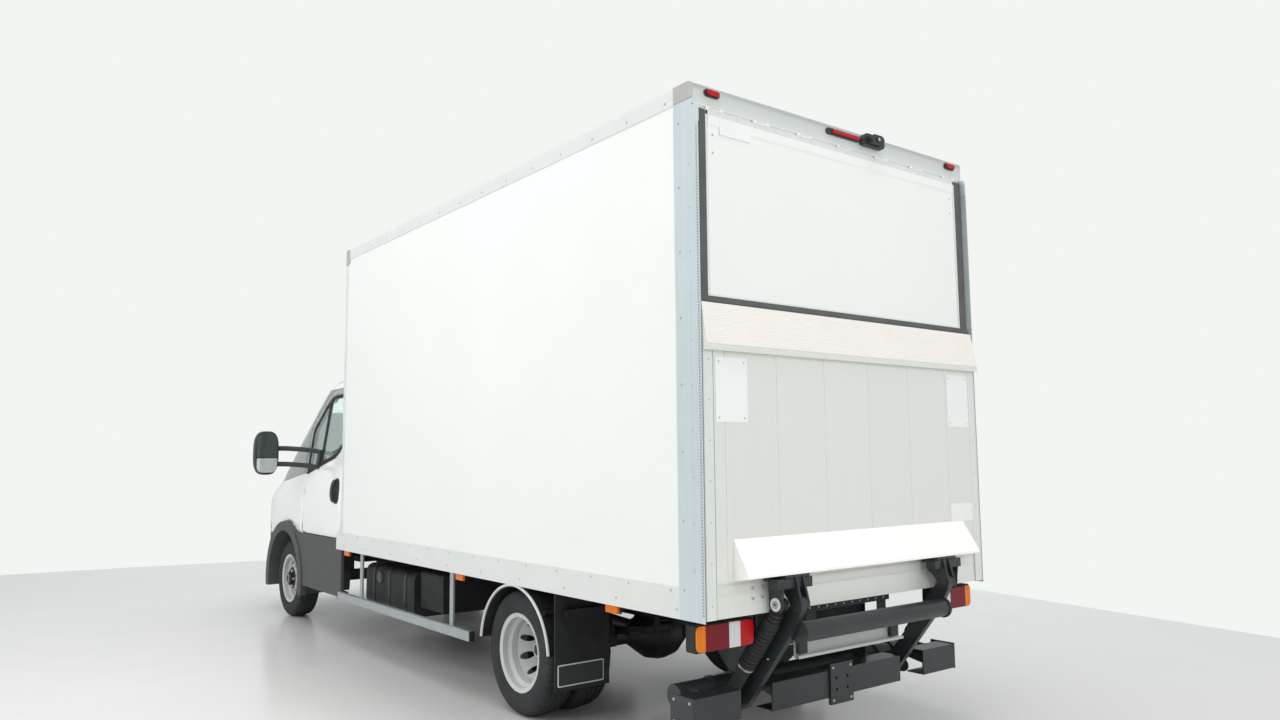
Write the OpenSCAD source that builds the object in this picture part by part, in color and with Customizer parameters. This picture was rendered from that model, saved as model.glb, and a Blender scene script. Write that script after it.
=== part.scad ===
// Light box truck with a cab, a plain-sided box body and a folding platform lift at the rear.
// Millimetres. The truck faces -Y, its left side is +X, and it stands on Z = 0.

/* [Chassis] */
// Distance between the front and rear axles
wheelbase = 4350; // [3900:10:4750]
// Front bumper ahead of the front axle
front_overhang = 1000; // [960:5:1050]
// Rear edge of the rear posts behind the rear axle
box_overhang = 1660; // [1500:10:1900]
// Width over the two chassis rails
frame_w = 830; // [780:10:860]
// Height of a chassis rail
frame_h = 150; // [130:5:170]
// Width of a rail's flanges
frame_flange = 65; // [50:5:80]
// Sheet thickness of a rail
frame_t = 6; // [4:1:9]
// Top of the chassis rails above the ground
frame_top = 685; // [670:5:700]

/* [Wheels] */
// Outer radius of a tyre
tyre_r = 348; // [335:1:356]
// Width of a tyre
tyre_w = 195; // [175:5:205]
// Radius at the bead seat of a rim
bead_r = 203; // [195:1:210]
// Height of the rim flange above the bead seat
flange_h = 17; // [12:1:20]
// Centre plane of a front tyre from the middle of the truck
front_tyre_x = 860; // [850:5:880]
// Centre plane of an outer rear tyre from the middle of the truck
rear_tyre_x = 915; // [905:5:930]
// Distance between the centre planes of twin tyres
twin_pitch = 232; // [226:2:244]
// Number of wheel nuts
nut_count = 6; // [5:1:8]
// Number of hand holes in a wheel disc
hole_count = 8; // [6:1:10]
// Kingpin axis from the middle of the truck
kingpin_x = 735; // [720:5:745]

/* [Box body] */
// Outside width of the box
box_w = 2100; // [2080:10:2200]
// Outside length of the box, front panel to rear edge of the posts
box_l = 4420; // [4100:10:4600]
// Underside of the lower rails above the ground
box_bottom = 730; // [720:5:740]
// Top of the box above the ground
box_top = 3177; // [2900:10:3300]
// Height of the lower rail
lower_rail_h = 140; // [125:5:160]
// Height of the upper rail's face
upper_rail_h = 88; // [70:2:110]
// Thickness of the wall and roof panels
panel_t = 20; // [15:1:30]
// Thickness of the outer lips of rails and posts
lip_t = 3; // [2:0.5:5]
// Thickness of the floor board
floor_t = 25; // [18:1:30]
// Height of the floor's cross bearers
bearer_h = 98; // [80:2:100]
// Distance between two cross bearers
bearer_pitch = 400; // [300:20:600]
// Depth of a rear post along the truck
post_d = 172; // [150:2:200]
// Width of a rear post seen from behind
post_w = 65; // [50:5:90]
// Depth of the recess behind the posts that takes flap and platform
recess_d = 64; // [62:1:72]
// Height of the header beam
header_h = 114; // [100:2:130]
// Thickness of the flap door
flap_t = 25; // [18:1:26]
// Number of hinges on the flap door
flap_hinges = 7; // [3:1:8]

/* [Platform lift] */
// Width of the platform
platform_w = 2080; // [2000:10:2080]
// Lower edge of the stowed platform above the ground
platform_bottom = 740; // [736:1:760]
// Upper edge of the stowed platform above the ground
platform_top = 2132; // [1900:1:2300]
// Thickness of the platform deck
platform_t = 40; // [30:1:44]
// Height of the tapered lip at the tip of the platform
lip_h = 200; // [180:5:300]
// Width of one deck plank
plank_w = 334; // [300:2:350]
// Width of the profile along each side of the platform
plank_edge = 60; // [50:1:70]
// Half width of the root wedge
wedge_half = 875; // [800:5:950]
// Upper edge of the root wedge above the ground
wedge_top = 1080; // [1040:5:1150]
// Lower edge of the root wedge above the ground
wedge_bottom = 921; // [900:1:940]
// How far the root wedge stands behind the deck
wedge_d = 96; // [80:2:110]
// Hinge of the platform behind the posts' rear edge
hinge_back = 98; // [94:1:104]
// Hinge of the platform above the ground
hinge_z = 783; // [775:1:790]
// Length of a lift arm from pin to pin
arm_l = 639; // [600:1:660]
// Angle of the stowed lift arm above the horizontal
arm_angle = 52.6; // [50:0.1:56]
// Centre plane of a lift arm from the middle
arm_x = 560; // [540:1:570]
// Thickness of a lift arm
arm_t = 34; // [26:1:40]
// Depth of a lift arm
arm_d = 84; // [70:2:100]
// Centre plane of a tilt cylinder from the middle
ram_x = 630; // [625:1:640]
// Radius of the tilt cylinder's bellows
bellows_r = 44; // [38:1:46]
// Distance from the hinge pin to the tilt cylinder's eye
tilt_lever = 50; // [44:1:56]
// Radius of the lift pins
pin_r = 15; // [12:1:18]
// Radius of the tube that joins the arms
cross_tube_r = 46; // [38:1:50]
// Underside of the rear underrun bars above the ground
underrun_z = 240; // [220:5:270]
// Height of the underrun bars
underrun_h = 132; // [110:2:140]
// Half width of the underrun bars
underrun_half = 980; // [900:10:1020]
// How far the lift arms go down
arm_drop = 72; // [40:1:72]

/* [Cab] */
// Width of the cab at the waist
cab_w = 2000; // [1960:10:2060]
// Cab roof above the ground
cab_top = 2235; // [2180:5:2300]
// Back wall of the cab behind the front axle
cab_back = 1460; // [1440:5:1470]
// Thickness of the cab's walls
cab_t = 42; // [30:1:50]
// Radius of the front wheel arch opening
arch_r = 445; // [440:1:460]
// Underside of the sills above the ground
sill_z = 340; // [320:5:380]
// Lower edge of the doors above the ground
door_bottom = 800; // [790:5:820]
// Gap round doors and bonnet
shut_gap = 6; // [5:0.5:9]
// Glass thickness
glass_t = 5; // [4:0.5:7]
// Reach of a mirror's outer edge from the middle of the truck
mirror_reach = 1418; // [1380:2:1440]

/* [Side equipment] */
// Lower edge of the side guard rail above the ground
guard_z = 336; // [320:2:400]
// Height of the side guard rail
guard_h = 60; // [50:2:80]
// Inner radius of a rear mudguard
mudguard_r = 375; // [368:1:376]

/* [Hidden] */
$fn = 48;
seat = 0.3;

// Places along the truck, worked out from the driving sizes
ear_r = 33;
lift_reach = hinge_back + ear_r;
total_l = front_overhang + wheelbase + box_overhang + lift_reach;
y_front = -total_l / 2;
y_fa = y_front + front_overhang;
y_ra = y_fa + wheelbase;
y_box = y_ra + box_overhang;
y_box_front = y_box - box_l;
half_w = box_w / 2;
floor_top = box_bottom + lower_rail_h;
rail_y0 = y_fa - 760;
rail_y1 = y_box - 330;
rim_r = bead_r + flange_h;

// An outline in Y and Z, carried across the truck
module across(w) {
    rotate([90, 0, 90]) linear_extrude(w, center = true) children();
}

// An outline in X and Z, carried along the truck
module along(l) {
    rotate([90, 0, 0]) linear_extrude(l, center = true) children();
}

// A box from its lowest corner to its highest corner
module block(low, high) {
    translate(low) cube(high - low);
}

// A round bar across the truck
module bar_x(r, x0, x1, y, z) {
    translate([x0, y, z]) rotate([0, 90, 0]) cylinder(h = x1 - x0, r = r);
}

// The same piece on both sides
module both_sides() {
    children();
    mirror([1, 0, 0]) children();
}

module side(s) {
    mirror([s > 0 ? 0 : 1, 0, 0]) children();
}

// Chassis

module chassis_rails() {
    color("#26292b") both_sides()
        translate([0, (rail_y0 + rail_y1) / 2, 0]) along(rail_y1 - rail_y0)
            translate([frame_w / 2 - frame_flange, frame_top - frame_h]) difference() {
                square([frame_flange, frame_h]);
                translate([-1, frame_t]) square([frame_flange - frame_t + 1, frame_h - 2 * frame_t]);
            }
}

// Cross tubes between the rails: place along the truck from the front axle, radius
cross_tubes = [[-690, 42], [700, 38], [1750, 34], [2900, 34], [3700, 38]];

module crossmembers() {
    web_x = frame_w / 2 - frame_t;
    color("#26292b") for (c = cross_tubes) {
        bar_x(c[1], -web_x + seat, web_x - seat, y_fa + c[0], frame_top - frame_h / 2);
    }
    color("#26292b") difference() {
        block([-web_x + seat, rail_y1 - 90, frame_top - frame_h + frame_t + seat],
              [web_x - seat, rail_y1 - 20, frame_top - frame_t - seat]);
        block([-web_x + 30, rail_y1 - 91, frame_top - frame_h + frame_t + 12],
              [web_x - 30, rail_y1 - 32, frame_top - frame_t - 12]);
    }
}

engine_y = [-600, -40];
engine_x = 250;
gearbox_l = 640;
gearbox_r = 125;
drive_z = 520;

module engine() {
    color("#4a4d50") {
        block([-engine_x, y_fa + engine_y[0], 440], [engine_x, y_fa + engine_y[1], 1020]);
        translate([0, y_fa + engine_y[1], drive_z]) rotate([-90, 0, 0])
            cylinder(h = gearbox_l, r1 = gearbox_r, r2 = 80);
        for (s = [-1, 1]) side(s)
            block([engine_x, y_fa - 330, 560],
                  [frame_w / 2 - frame_t - seat, y_fa - 270, 620]);
    }
}

spring_x = 462;
spring_w = 70;
spring_half = 640;
// Face of the turning drum from the middle of the truck
drum_x = 548;
beam_r = 46;

pinion_y = y_ra - 230;

// Half outline of the axle: radius, place across. Tube, drum's back plate, tube again, then the bulge round the gears
function axle_half() = [[0, drum_x - seat], [beam_r, drum_x - seat], [beam_r, drum_x - 8], [150, drum_x - 8],
    [150, drum_x - 44], [beam_r, drum_x - 44], [beam_r, 240], [108, 150], [148, 90], [162, 20]];

module rear_axle() {
    outline = axle_half();
    color("#222426") translate([0, y_ra, tyre_r]) {
        rotate([0, 90, 0]) rotate_extrude()
            polygon(concat(outline, [for (i = [len(outline) - 1:-1:0]) [outline[i][0], -outline[i][1]]]));
        rotate([90, 0, 0]) cylinder(h = y_ra - pinion_y, r1 = 100, r2 = 60);
    }
}

// Shaft between the flanges of gearbox and axle, on its slope
module propeller_shaft() {
    flange_r = 52;
    flange_l = 24;
    y0 = y_fa + engine_y[1] + gearbox_l + seat;
    y1 = pinion_y - seat;
    run = y1 - y0 - 2 * flange_l;
    fall = drive_z - tyre_r;
    color("#222426") {
        for (e = [[y0, drive_z], [y1 - flange_l, tyre_r]])
            translate([0, e[0], e[1]]) rotate([-90, 0, 0]) cylinder(h = flange_l, r = flange_r);
        translate([0, y0 + flange_l - 6, drive_z]) rotate([-90 - atan2(fall, run + 12), 0, 0])
            cylinder(h = norm([run + 12, fall]), r = 38);
    }
}

// Leaf pack: each leaf bowed up at its ends, shorter towards the bottom
leaf_t = 12;
leaf_lengths = [1, 0.82, 0.6, 0.4];
leaves = len(leaf_lengths);
sweep_r = 2600;
function bow(y) = pow(y, 2) / (2 * sweep_r);
function leaf_half(i) = spring_half * leaf_lengths[i];
leaf_ends = [for (i = [0:leaves - 1], k = [0, 1]) if (i + k < leaves)
    [leaf_half(i + k), (leaves - 1 - i) * leaf_t + bow(leaf_half(i + k))]];
leaf_back = [for (i = [len(leaf_ends) - 1:-1:0]) [-leaf_ends[i][0], leaf_ends[i][1]]];
leaf_top = [for (i = [-12:12]) [i / 12 * spring_half, leaves * leaf_t + bow(i / 12 * spring_half)]];

module leaf_spring(z0) {
    hang_z = frame_top - frame_h + 20;
    eye_r = 22;
    eye_z = z0 + (leaves - 0.5) * leaf_t + bow(spring_half);
    plate_x = spring_w / 2 + 5;
    translate([spring_x, y_ra, z0]) across(spring_w)
        polygon(concat(leaf_top, leaf_ends, [[leaf_half(leaves - 1), 0], [-leaf_half(leaves - 1), 0]], leaf_back));
    for (dy = [-1, 1]) {
        bar_x(eye_r, spring_x - plate_x, spring_x + plate_x, y_ra + dy * spring_half, eye_z);
        for (dx = [-1, 1])
            translate([spring_x + dx * plate_x, y_ra + dy * spring_half, 0]) across(8) {
                translate([0, eye_z]) circle(r = eye_r + 4);
                translate([0, hang_z]) circle(r = eye_r);
                polygon([[-eye_r, hang_z], [eye_r, hang_z], [eye_r + 4, eye_z], [-eye_r - 4, eye_z]]);
            }
        bar_x(12, frame_w / 2, spring_x + plate_x + 6, y_ra + dy * spring_half, hang_z);
    }
}

// Leaf springs clamped to the axle between two plates
module rear_springs() {
    pad_w = spring_w / 2 + 6;
    spring_bottom = tyre_r + beam_r + 8;
    bolt_y = 70;
    color("#222426") both_sides() {
        leaf_spring(spring_bottom);
        block([spring_x - pad_w, y_ra - 90, tyre_r + beam_r + seat], [spring_x + pad_w, y_ra + 90, spring_bottom + 1]);
        block([spring_x - pad_w, y_ra - 90, tyre_r - beam_r - 14], [spring_x + pad_w, y_ra + 90, tyre_r - beam_r - seat]);
        for (dy = [-1, 1], dx = [-1, 1])
            translate([spring_x + dx * (pad_w - 8), y_ra + dy * bolt_y, tyre_r - beam_r - 24]) cylinder(h = 180, r = 6);
    }
}

kingpin_r = 20;
kingpin_z = [300, 590];

module front_arm(z0, z1, x0, root) {
    translate([0, y_fa, z0]) linear_extrude(z1 - z0) union() {
        polygon([[x0, -root], [x0, root], [kingpin_x, kingpin_r], [kingpin_x, -kingpin_r]]);
        translate([kingpin_x, 0]) circle(r = kingpin_r);
    }
}

module front_suspension() {
    beam_z = [288, 378];
    beam_x = frame_w / 2 - 20;
    color("#222426") {
        block([-beam_x, y_fa - 70, beam_z[0]], [beam_x, y_fa + 70, beam_z[1]]);
        both_sides() {
            // Post from the beam up to the rail, two arms, and damper
            block([frame_w / 2 - frame_flange, y_fa - 60, beam_z[1] - 1], [beam_x, y_fa + 60, frame_top - frame_h]);
            front_arm(kingpin_z[0] - seat - 36, kingpin_z[0] - seat, beam_x - 1, 70);
            front_arm(kingpin_z[1] + seat, kingpin_z[1] + 26, frame_w / 2 + seat, 60);
            translate([frame_w / 2 + 60, y_fa, kingpin_z[0] - 10]) cylinder(h = kingpin_z[1] - kingpin_z[0] + 15, r = 28);
        }
    }
}

// A steered knuckle: kingpin between the arms, upright, hub, brake disc and steering arm
module knuckle() {
    hub_end = front_tyre_x + front_disc_x - disc_t - seat;
    color("#3a3d40") {
        translate([kingpin_x, y_fa, kingpin_z[0]]) cylinder(h = kingpin_z[1] - kingpin_z[0], r = kingpin_r);
        block([kingpin_x - 20, y_fa - 70, kingpin_z[0] + 6], [kingpin_x + 40, y_fa + 70, tyre_r + 70]);
        bar_x(55, kingpin_x + 26, hub_end, y_fa, tyre_r);
        block([kingpin_x - 10, y_fa - 150, kingpin_z[0] + 6], [kingpin_x + 16, y_fa - 60, tyre_r + 40]);
    }
    color("#8b8e90") bar_x(140, kingpin_x + 45, kingpin_x + 67, y_fa, tyre_r);
}

module knuckle_left() knuckle();
module knuckle_right() mirror([1, 0, 0]) knuckle();

// Tyre section: bead beside the rim's flange, bulged wall, shoulder and crown
rim_half = tyre_w * 0.42;
flange_t = 6;

module tyre(x) {
    half = tyre_w / 2;
    inner = bead_r + seat;
    wall = [[inner, rim_half - flange_t - 2 * seat], [rim_r + 2 * seat, rim_half - 2 * seat], [rim_r + 8, rim_half + 7],
        [inner + 50, half], [tyre_r - 62, half], [tyre_r - 16, half * 0.9], [tyre_r - 3, half * 0.74], [tyre_r, half * 0.3]];
    color("#2f3133") translate([x, 0, tyre_r]) rotate([0, 90, 0]) rotate_extrude($fn = 96)
        polygon(concat(wall, [for (i = [len(wall) - 1:-1:0]) [wall[i][0], -wall[i][1]]]));
}

// Rim barrel with its well, and the disc from hub plane to well. Measured outboard from the tyre's centre plane
disc_t = 10;
well_d = 18;
hub_r = 82;

module rim(x, hub_plane, crown, well_plane) {
    half = rim_half;
    f = flange_t;
    wall = 7;
    well_r = bead_r - well_d - wall;
    color("#c9cbc8") translate([x, 0, tyre_r]) rotate([0, 90, 0]) difference() {
        union() {
            rotate_extrude($fn = 96) polygon([[bead_r - wall, -half], [rim_r, -half - f], [rim_r, -half],
                [bead_r, -half + f], [bead_r, -30], [bead_r - well_d, -14], [bead_r - well_d, 26], [bead_r, 44],
                [bead_r, half - f], [rim_r, half], [rim_r, half + f], [bead_r - wall, half],
                [bead_r - wall, 48], [well_r, 30], [well_r, -18], [bead_r - wall, -34]]);
            rotate_extrude($fn = 96) polygon([[0, hub_plane], [hub_r, hub_plane], [hub_r + 24, hub_plane + crown],
                [well_r - 24, well_plane + 12], [well_r + 1, well_plane], [well_r + 1, well_plane - disc_t],
                [well_r - 26, well_plane + 12 - disc_t], [hub_r + 22, hub_plane + crown - disc_t],
                [hub_r, hub_plane - disc_t], [0, hub_plane - disc_t]]);
        }
        for (i = [0:hole_count - 1]) rotate([0, 0, (i + 0.5) * 360 / hole_count])
            translate([(hub_r + well_r) / 2, 0, 0]) cylinder(h = 300, r = 21, center = true);
        cylinder(h = 400, r = 46, center = true);
    }
}

// Nuts and hub cap on the outside of a wheel disc
module wheel_centre(x, disc_x, cap_r, cap_h) {
    color("#2b2d2f") translate([x + disc_x, 0, tyre_r]) rotate([0, 90, 0]) {
        cylinder(h = cap_h, r = cap_r);
        translate([0, 0, cap_h]) cylinder(h = 14, r1 = cap_r, r2 = cap_r * 0.8);
        for (i = [0:nut_count - 1]) rotate([0, 0, i * 360 / nut_count])
            translate([hub_r - 16, 0, 0]) cylinder(h = 22, r = 12, $fn = 6);
    }
}

front_disc_x = 42;
rear_disc_x = -twin_pitch / 2 + disc_t + 1;

module tyre_front_left() translate([0, y_fa, 0]) tyre(front_tyre_x);
module tyre_front_right() translate([0, y_fa, 0]) tyre(-front_tyre_x);

module front_rim() {
    rim(front_tyre_x, front_disc_x, 22, 8);
    wheel_centre(front_tyre_x, front_disc_x - 1, 50, 52);
}

module rim_front_left() translate([0, y_fa, 0]) front_rim();
module rim_front_right() mirror([1, 0, 0]) translate([0, y_fa, 0]) front_rim();

module twin_tyres() {
    for (i = [0, 1]) translate([0, y_ra, 0]) tyre(rear_tyre_x - i * twin_pitch);
}

module twin_rims() {
    inner_x = rear_tyre_x - twin_pitch;
    translate([0, y_ra, 0]) {
        rim(rear_tyre_x, rear_disc_x, 18, -6);
        mirror([1, 0, 0]) rim(-inner_x, rear_disc_x, 18, -6);
        wheel_centre(rear_tyre_x, rear_disc_x - 1, 50, 60);
    }
    // Hub and drum that turn with the wheels
    color("#3a3d40") {
        bar_x(60, drum_x + 1, rear_tyre_x + rear_disc_x - disc_t + 1, y_ra, tyre_r);
        bar_x(150, drum_x, drum_x + 52, y_ra, tyre_r);
    }
}

module tyres_rear_left() twin_tyres();
module tyres_rear_right() mirror([1, 0, 0]) twin_tyres();
module rims_rear_left() twin_rims();
module rims_rear_right() mirror([1, 0, 0]) twin_rims();

// Rounded box between two corners, rounded in the section seen along the truck
module rounded_tank(low, high, r) {
    size = high - low;
    translate([0, (low[1] + high[1]) / 2, 0]) along(size[1])
        translate([low[0] + r, low[2] + r]) offset(r = r) square([size[0] - 2 * r, size[2] - 2 * r]);
}

module fuel_tank() {
    web_x = frame_w / 2;
    tank_w = 515;
    bottle_out = 205;
    bottle_r = 105;
    color("#1f2122") {
        rounded_tank([web_x + seat, y_fa + 1860, frame_top - 355], [web_x + tank_w, y_fa + 2760, frame_top - 45], 60);
        rounded_tank([web_x + seat, y_fa + 2800, frame_top - 285], [web_x + tank_w - 30, y_fa + 3160, frame_top - 25], 20);
        rounded_tank([-web_x - tank_w, y_fa + 1900, frame_top - 325], [-web_x - seat, y_fa + 2500, frame_top - 35], 30);
    }
    color("#6d6f70") {
        // Air bottle on two brackets
        translate([-web_x - bottle_out, y_fa + 2560, frame_top - 215]) rotate([-90, 0, 0]) cylinder(h = 620, r = bottle_r);
        for (dy = [2640, 3100])
            block([-web_x - bottle_out + 95, y_fa + dy - 15, frame_top - 205], [-web_x - seat, y_fa + dy + 15, frame_top - 45]);
    }
}

sill_limit = 300;

// Cab. Its outer form is where three outlines meet: seen from the side, along the truck and from above.
// Side outline: place behind the front axle, height
cab_side = [[-front_overhang, 420], [-front_overhang, 700], [-front_overhang + 25, 860],
    [-front_overhang + 75, 1010], [-front_overhang + 160, 1085], [-330, 1270], [620, cab_top - 115],
    [690, cab_top - 70], [800, cab_top - 30], [960, cab_top - 7], [1150, cab_top], [cab_back - 80, cab_top - 7],
    [cab_back - 20, cab_top - 30], [cab_back, cab_top - 75], [cab_back, sill_limit],
    [-front_overhang + 140, sill_limit], [-front_overhang + 60, 345]];
// Half section: reach from the middle, height
cab_section = [[0.965, 300], [0.975, 560], [0.995, 760], [1, 900], [0.99, 1120], [0.972, 1300],
    [0.86, 2030], [0.83, cab_top - 125], [0.78, cab_top - 70], [0.68, cab_top - 30],
    [0.45, cab_top - 7], [0, cab_top]];
// Half plan: reach, place behind the front axle
cab_plan = [[0.34, -front_overhang], [0.6, -front_overhang + 35], [0.78, -front_overhang + 95],
    [0.9, -front_overhang + 200], [0.96, -660], [0.99, -480], [1, -200], [1, 1000], [0.99, cab_back]];

function mirrored(p) = concat(p, [for (i = [len(p) - 1:-1:0]) [-p[i][0], p[i][1]]]);
function plan_points(w) = [for (p = cab_plan) [p[0] * w / 2, p[1]]];
function section_points(w) = [for (p = cab_section) [p[0] * w / 2, p[1]]];

module cab_form(inset) {
    intersection() {
        translate([0, y_fa, 0]) across(cab_w + 200) offset(delta = -inset) polygon(cab_side);
        translate([0, y_fa + 200, 0]) along(4000) offset(delta = -inset) polygon(mirrored(section_points(cab_w)));
        translate([0, y_fa, 0]) linear_extrude(3000) offset(delta = -inset) polygon(mirrored(plan_points(cab_w)));
    }
}

// The cab's skin between two depths
module cab_skin(depth, thick) {
    difference() {
        cab_form(depth);
        cab_form(depth + thick);
    }
}

// Outline of the door seen from the side, and of its window above the rising belt line
door_y0 = 415;
door_y1 = 1370;
door_top = 2085;
door_outline = [[door_y0, door_bottom], [door_y1, door_bottom], [door_y1, door_top],
    [770, door_top], [door_y0, 1765]];
window_outline = [[door_y0 + 50, 1352], [790, 1412], [1130, 1480], [1270, 1560], [1315, 1650],
    [1315, door_top - 70], [802, door_top - 70], [door_y0 + 50, 1712]];
divider_y = 800;

module door_region(grow) {
    for (s = [-1, 1]) translate([s * cab_w / 2, y_fa, 0]) across(700) offset(delta = grow) polygon(door_outline);
}

module side_window(grow) {
    translate([cab_w / 2, y_fa, 0]) across(700) offset(delta = grow) difference() {
        polygon(window_outline);
        translate([divider_y - 30, 1000]) square([60, 1500]);
    }
}

// Windscreen outline seen from the front: half width, height
windscreen_half = [[0.86, 1315], [0.79, 2040], [0.7, 2075], [0, 2085]];

module windscreen_region(grow) {
    translate([0, y_fa + 150, 0]) along(1300) offset(delta = grow)
        polygon(mirrored([for (p = windscreen_half) [p[0] * cab_w / 2, p[1]]]));
}

// Bonnet seen from the side
bonnet_outline = [[-1100, 905], [-800, 905], [-420, 1130], [-355, 1240], [-420, 1400], [-1100, 1400]];

module bonnet_region(grow) {
    translate([0, y_fa, 0]) across(cab_w * 0.86 + 2 * grow) offset(delta = grow) polygon(bonnet_outline);
}

bumper_top = 745;
sill_d = 60;

arch_x = 535;
liner_t = 6;
moulding_w = 85;
moulding_d = 34;

// Room for the arch liners and for the mouldings round the openings
module wheel_arches() {
    for (s = [-1, 1]) side(s) {
        bar_x(arch_r + liner_t + seat, arch_x, cab_w / 2 + 100, y_fa, tyre_r);
        bar_x(arch_r + moulding_w + seat, cab_w / 2 - moulding_d - seat, cab_w / 2 + 100, y_fa, tyre_r);
    }
}

// Hinges: a knuckle on the moving panel between two on the cab. Door hinges by height, bonnet hinges by place across
knuckle_r = 8;
knuckle_h = 46;
hinge_leaf = 24;
door_hinges = [880, 1060];
door_axis = [cab_w / 2 + 4, door_y0 - 9];
bonnet_hinge_x = 520;
bonnet_axis = [-346, 1269];

module door_hinge(z, part_h, dy0, dy1) {
    translate([door_axis[0], y_fa + door_axis[1], z]) {
        cylinder(h = part_h, r = knuckle_r);
        translate([-hinge_leaf, dy0, 0]) cube([hinge_leaf, dy1 - dy0, part_h]);
    }
}

module cab_hinges() {
    lug_h = 16;
    both_sides() {
        for (z = door_hinges, dz = [-lug_h - 1, knuckle_h + 1]) door_hinge(z + dz, lug_h, -26, 0);
        for (dx = [-lug_h - 1, knuckle_h + 1]) translate([bonnet_hinge_x + dx, y_fa + bonnet_axis[0], bonnet_axis[1]]) {
            rotate([0, 90, 0]) cylinder(h = lug_h, r = knuckle_r);
            translate([0, 0, -16]) cube([lug_h, 14, 20]);
        }
    }
}

// Room in the skin for the knuckles on doors and bonnet
module hinge_pockets() {
    both_sides() {
        for (z = door_hinges) translate([door_axis[0], y_fa + door_axis[1], z - 1]) {
            cylinder(h = knuckle_h + 2, r = knuckle_r + 2);
            translate([-hinge_leaf - 2, -2, 0]) cube([hinge_leaf + 2, 12, knuckle_h + 2]);
        }
        translate([bonnet_hinge_x - 1, y_fa + bonnet_axis[0], bonnet_axis[1]]) {
            rotate([0, 90, 0]) cylinder(h = knuckle_h + 2, r = knuckle_r + 2);
            translate([0, -34, -22]) cube([knuckle_h + 2, 34, 44]);
        }
    }
}

module cab_body() {
    color("#eef1ee") difference() {
        union() {
            cab_skin(0, cab_t);
            // Bulkhead, floor and cowl inside the skin
            intersection() {
                cab_form(cab_t - 1);
                union() {
                    block([-cab_w / 2, y_fa + 100, 700], [cab_w / 2, y_fa + 130, 1330]);
                    block([-cab_w / 2, y_fa + 100, 700], [cab_w / 2, y_fa + cab_back, 740]);
                    block([-cab_w / 2, y_fa - 330, 1200], [cab_w / 2, y_fa + 130, 1225]);
                }
            }
        }
        door_region(shut_gap);
        windscreen_region(0);
        bonnet_region(shut_gap);
        wheel_arches();
        hinge_pockets();
        // Open below, and open where bumper, sills, grille and lamps stand
        block([-cab_w, y_fa - 1200, 0], [cab_w, y_fa + cab_back + 10, door_bottom - 110]);
        block([-cab_w, y_fa - 1200, 0], [cab_w, y_fa - 300, bumper_top + seat]);
        for (s = [-1, 1]) side(s) block([cab_w / 2 - sill_d - seat, y_fa + 300, 0],
            [cab_w, y_fa + cab_back + 50, door_bottom - shut_gap + seat]);
        block([-cab_w, y_fa - 1200, 0], [cab_w, y_fa - 560, bumper_top + 160]);
        block([-frame_w / 2 - 30, y_fa - 1200, 0], [frame_w / 2 + 30, y_fa + 60, 1180]);
    }
    color("#eef1ee") cab_hinges();
    // Rubber mounts on the chassis rails
    color("#26292b") for (y = [220, 1300]) both_sides()
        translate([frame_w / 2 - frame_flange / 2, y_fa + y, frame_top]) cylinder(h = 701 - frame_top, r = 28);
}

module door(s) {
    color("#eef1ee") side(s) difference() {
        intersection() {
            cab_skin(0, 60);
            translate([cab_w / 2, y_fa, 0]) across(700) polygon(door_outline);
        }
        side_window(0);
    }
    color("#eef1ee") side(s) for (z = door_hinges) door_hinge(z, knuckle_h, 0, 30);
    // Handle
    color("#26292b") side(s)
        block([cab_w / 2 - 44, y_fa + 1165, 1085], [cab_w / 2 + 8, y_fa + 1315, 1290]);
}

module door_left() door(1);
module door_right() door(-1);

module door_glass(s) {
    color("#9fb0ae", 0.5) side(s) intersection() {
        cab_skin(14, glass_t);
        side_window(-seat);
    }
}

module glass_left() door_glass(1);
module glass_right() door_glass(-1);

module windscreen() {
    color("#9fb0ae", 0.5) intersection() {
        cab_skin(4, glass_t + 1);
        windscreen_region(-seat);
    }
}

module bonnet() {
    color("#eef1ee") intersection() {
        cab_skin(0, 30);
        bonnet_region(0);
    }
    color("#eef1ee") both_sides() translate([bonnet_hinge_x, y_fa + bonnet_axis[0], bonnet_axis[1]]) {
        rotate([0, 90, 0]) cylinder(h = knuckle_h, r = knuckle_r);
        translate([0, -30, -16]) cube([knuckle_h, 30, 16]);
    }
}

module front_bumper() {
    color("#5a5d5c") difference() {
        intersection() {
            cab_skin(0, 50);
            block([-cab_w, y_fa - 1200, 300], [cab_w, y_fa - 300, bumper_top]);
        }
        wheel_arches();
        // Lower intake and tow hook cover
        block([-420, y_fa - 1200, 440], [420, y_fa - 700, 560]);
    }
}

grille_half = 430;

module grille() {
    slats = 4;
    z0 = bumper_top + seat;
    z1 = 905 - shut_gap;
    color("#2b2d2f") intersection() {
        cab_skin(6, 40);
        difference() {
            block([-grille_half, y_fa - 1200, z0], [grille_half, y_fa - 700, z1]);
            for (i = [0:slats - 1])
                translate([0, y_fa - 1000, z0 + 24 + i * (z1 - z0 - 20) / slats])
                    cube([2 * grille_half - 60, 500, 12], center = true);
        }
    }
}

module headlamps() {
    z0 = bumper_top + seat;
    z1 = 905 - shut_gap;
    color("#c8cdd0") both_sides() intersection() {
        cab_skin(2, 60);
        block([grille_half + seat, y_fa - 1200, z0], [cab_w * 0.47, y_fa - 561, z1]);
    }
}

// Upper part of a ring round the front axle, cut off 100 mm below the axle
module arch_ring(r0, r1, x0, x1) {
    translate([x0, y_fa, tyre_r]) rotate([0, 90, 0]) intersection() {
        difference() {
            cylinder(h = x1 - x0, r = r1, $fn = 96);
            translate([0, 0, -1]) cylinder(h = x1 - x0 + 2, r = r0, $fn = 96);
        }
        translate([-r1 - 1, -r1 - 1, -1]) cube([r1 + 101, 2 * r1 + 2, x1 - x0 + 2]);
    }
}

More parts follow.
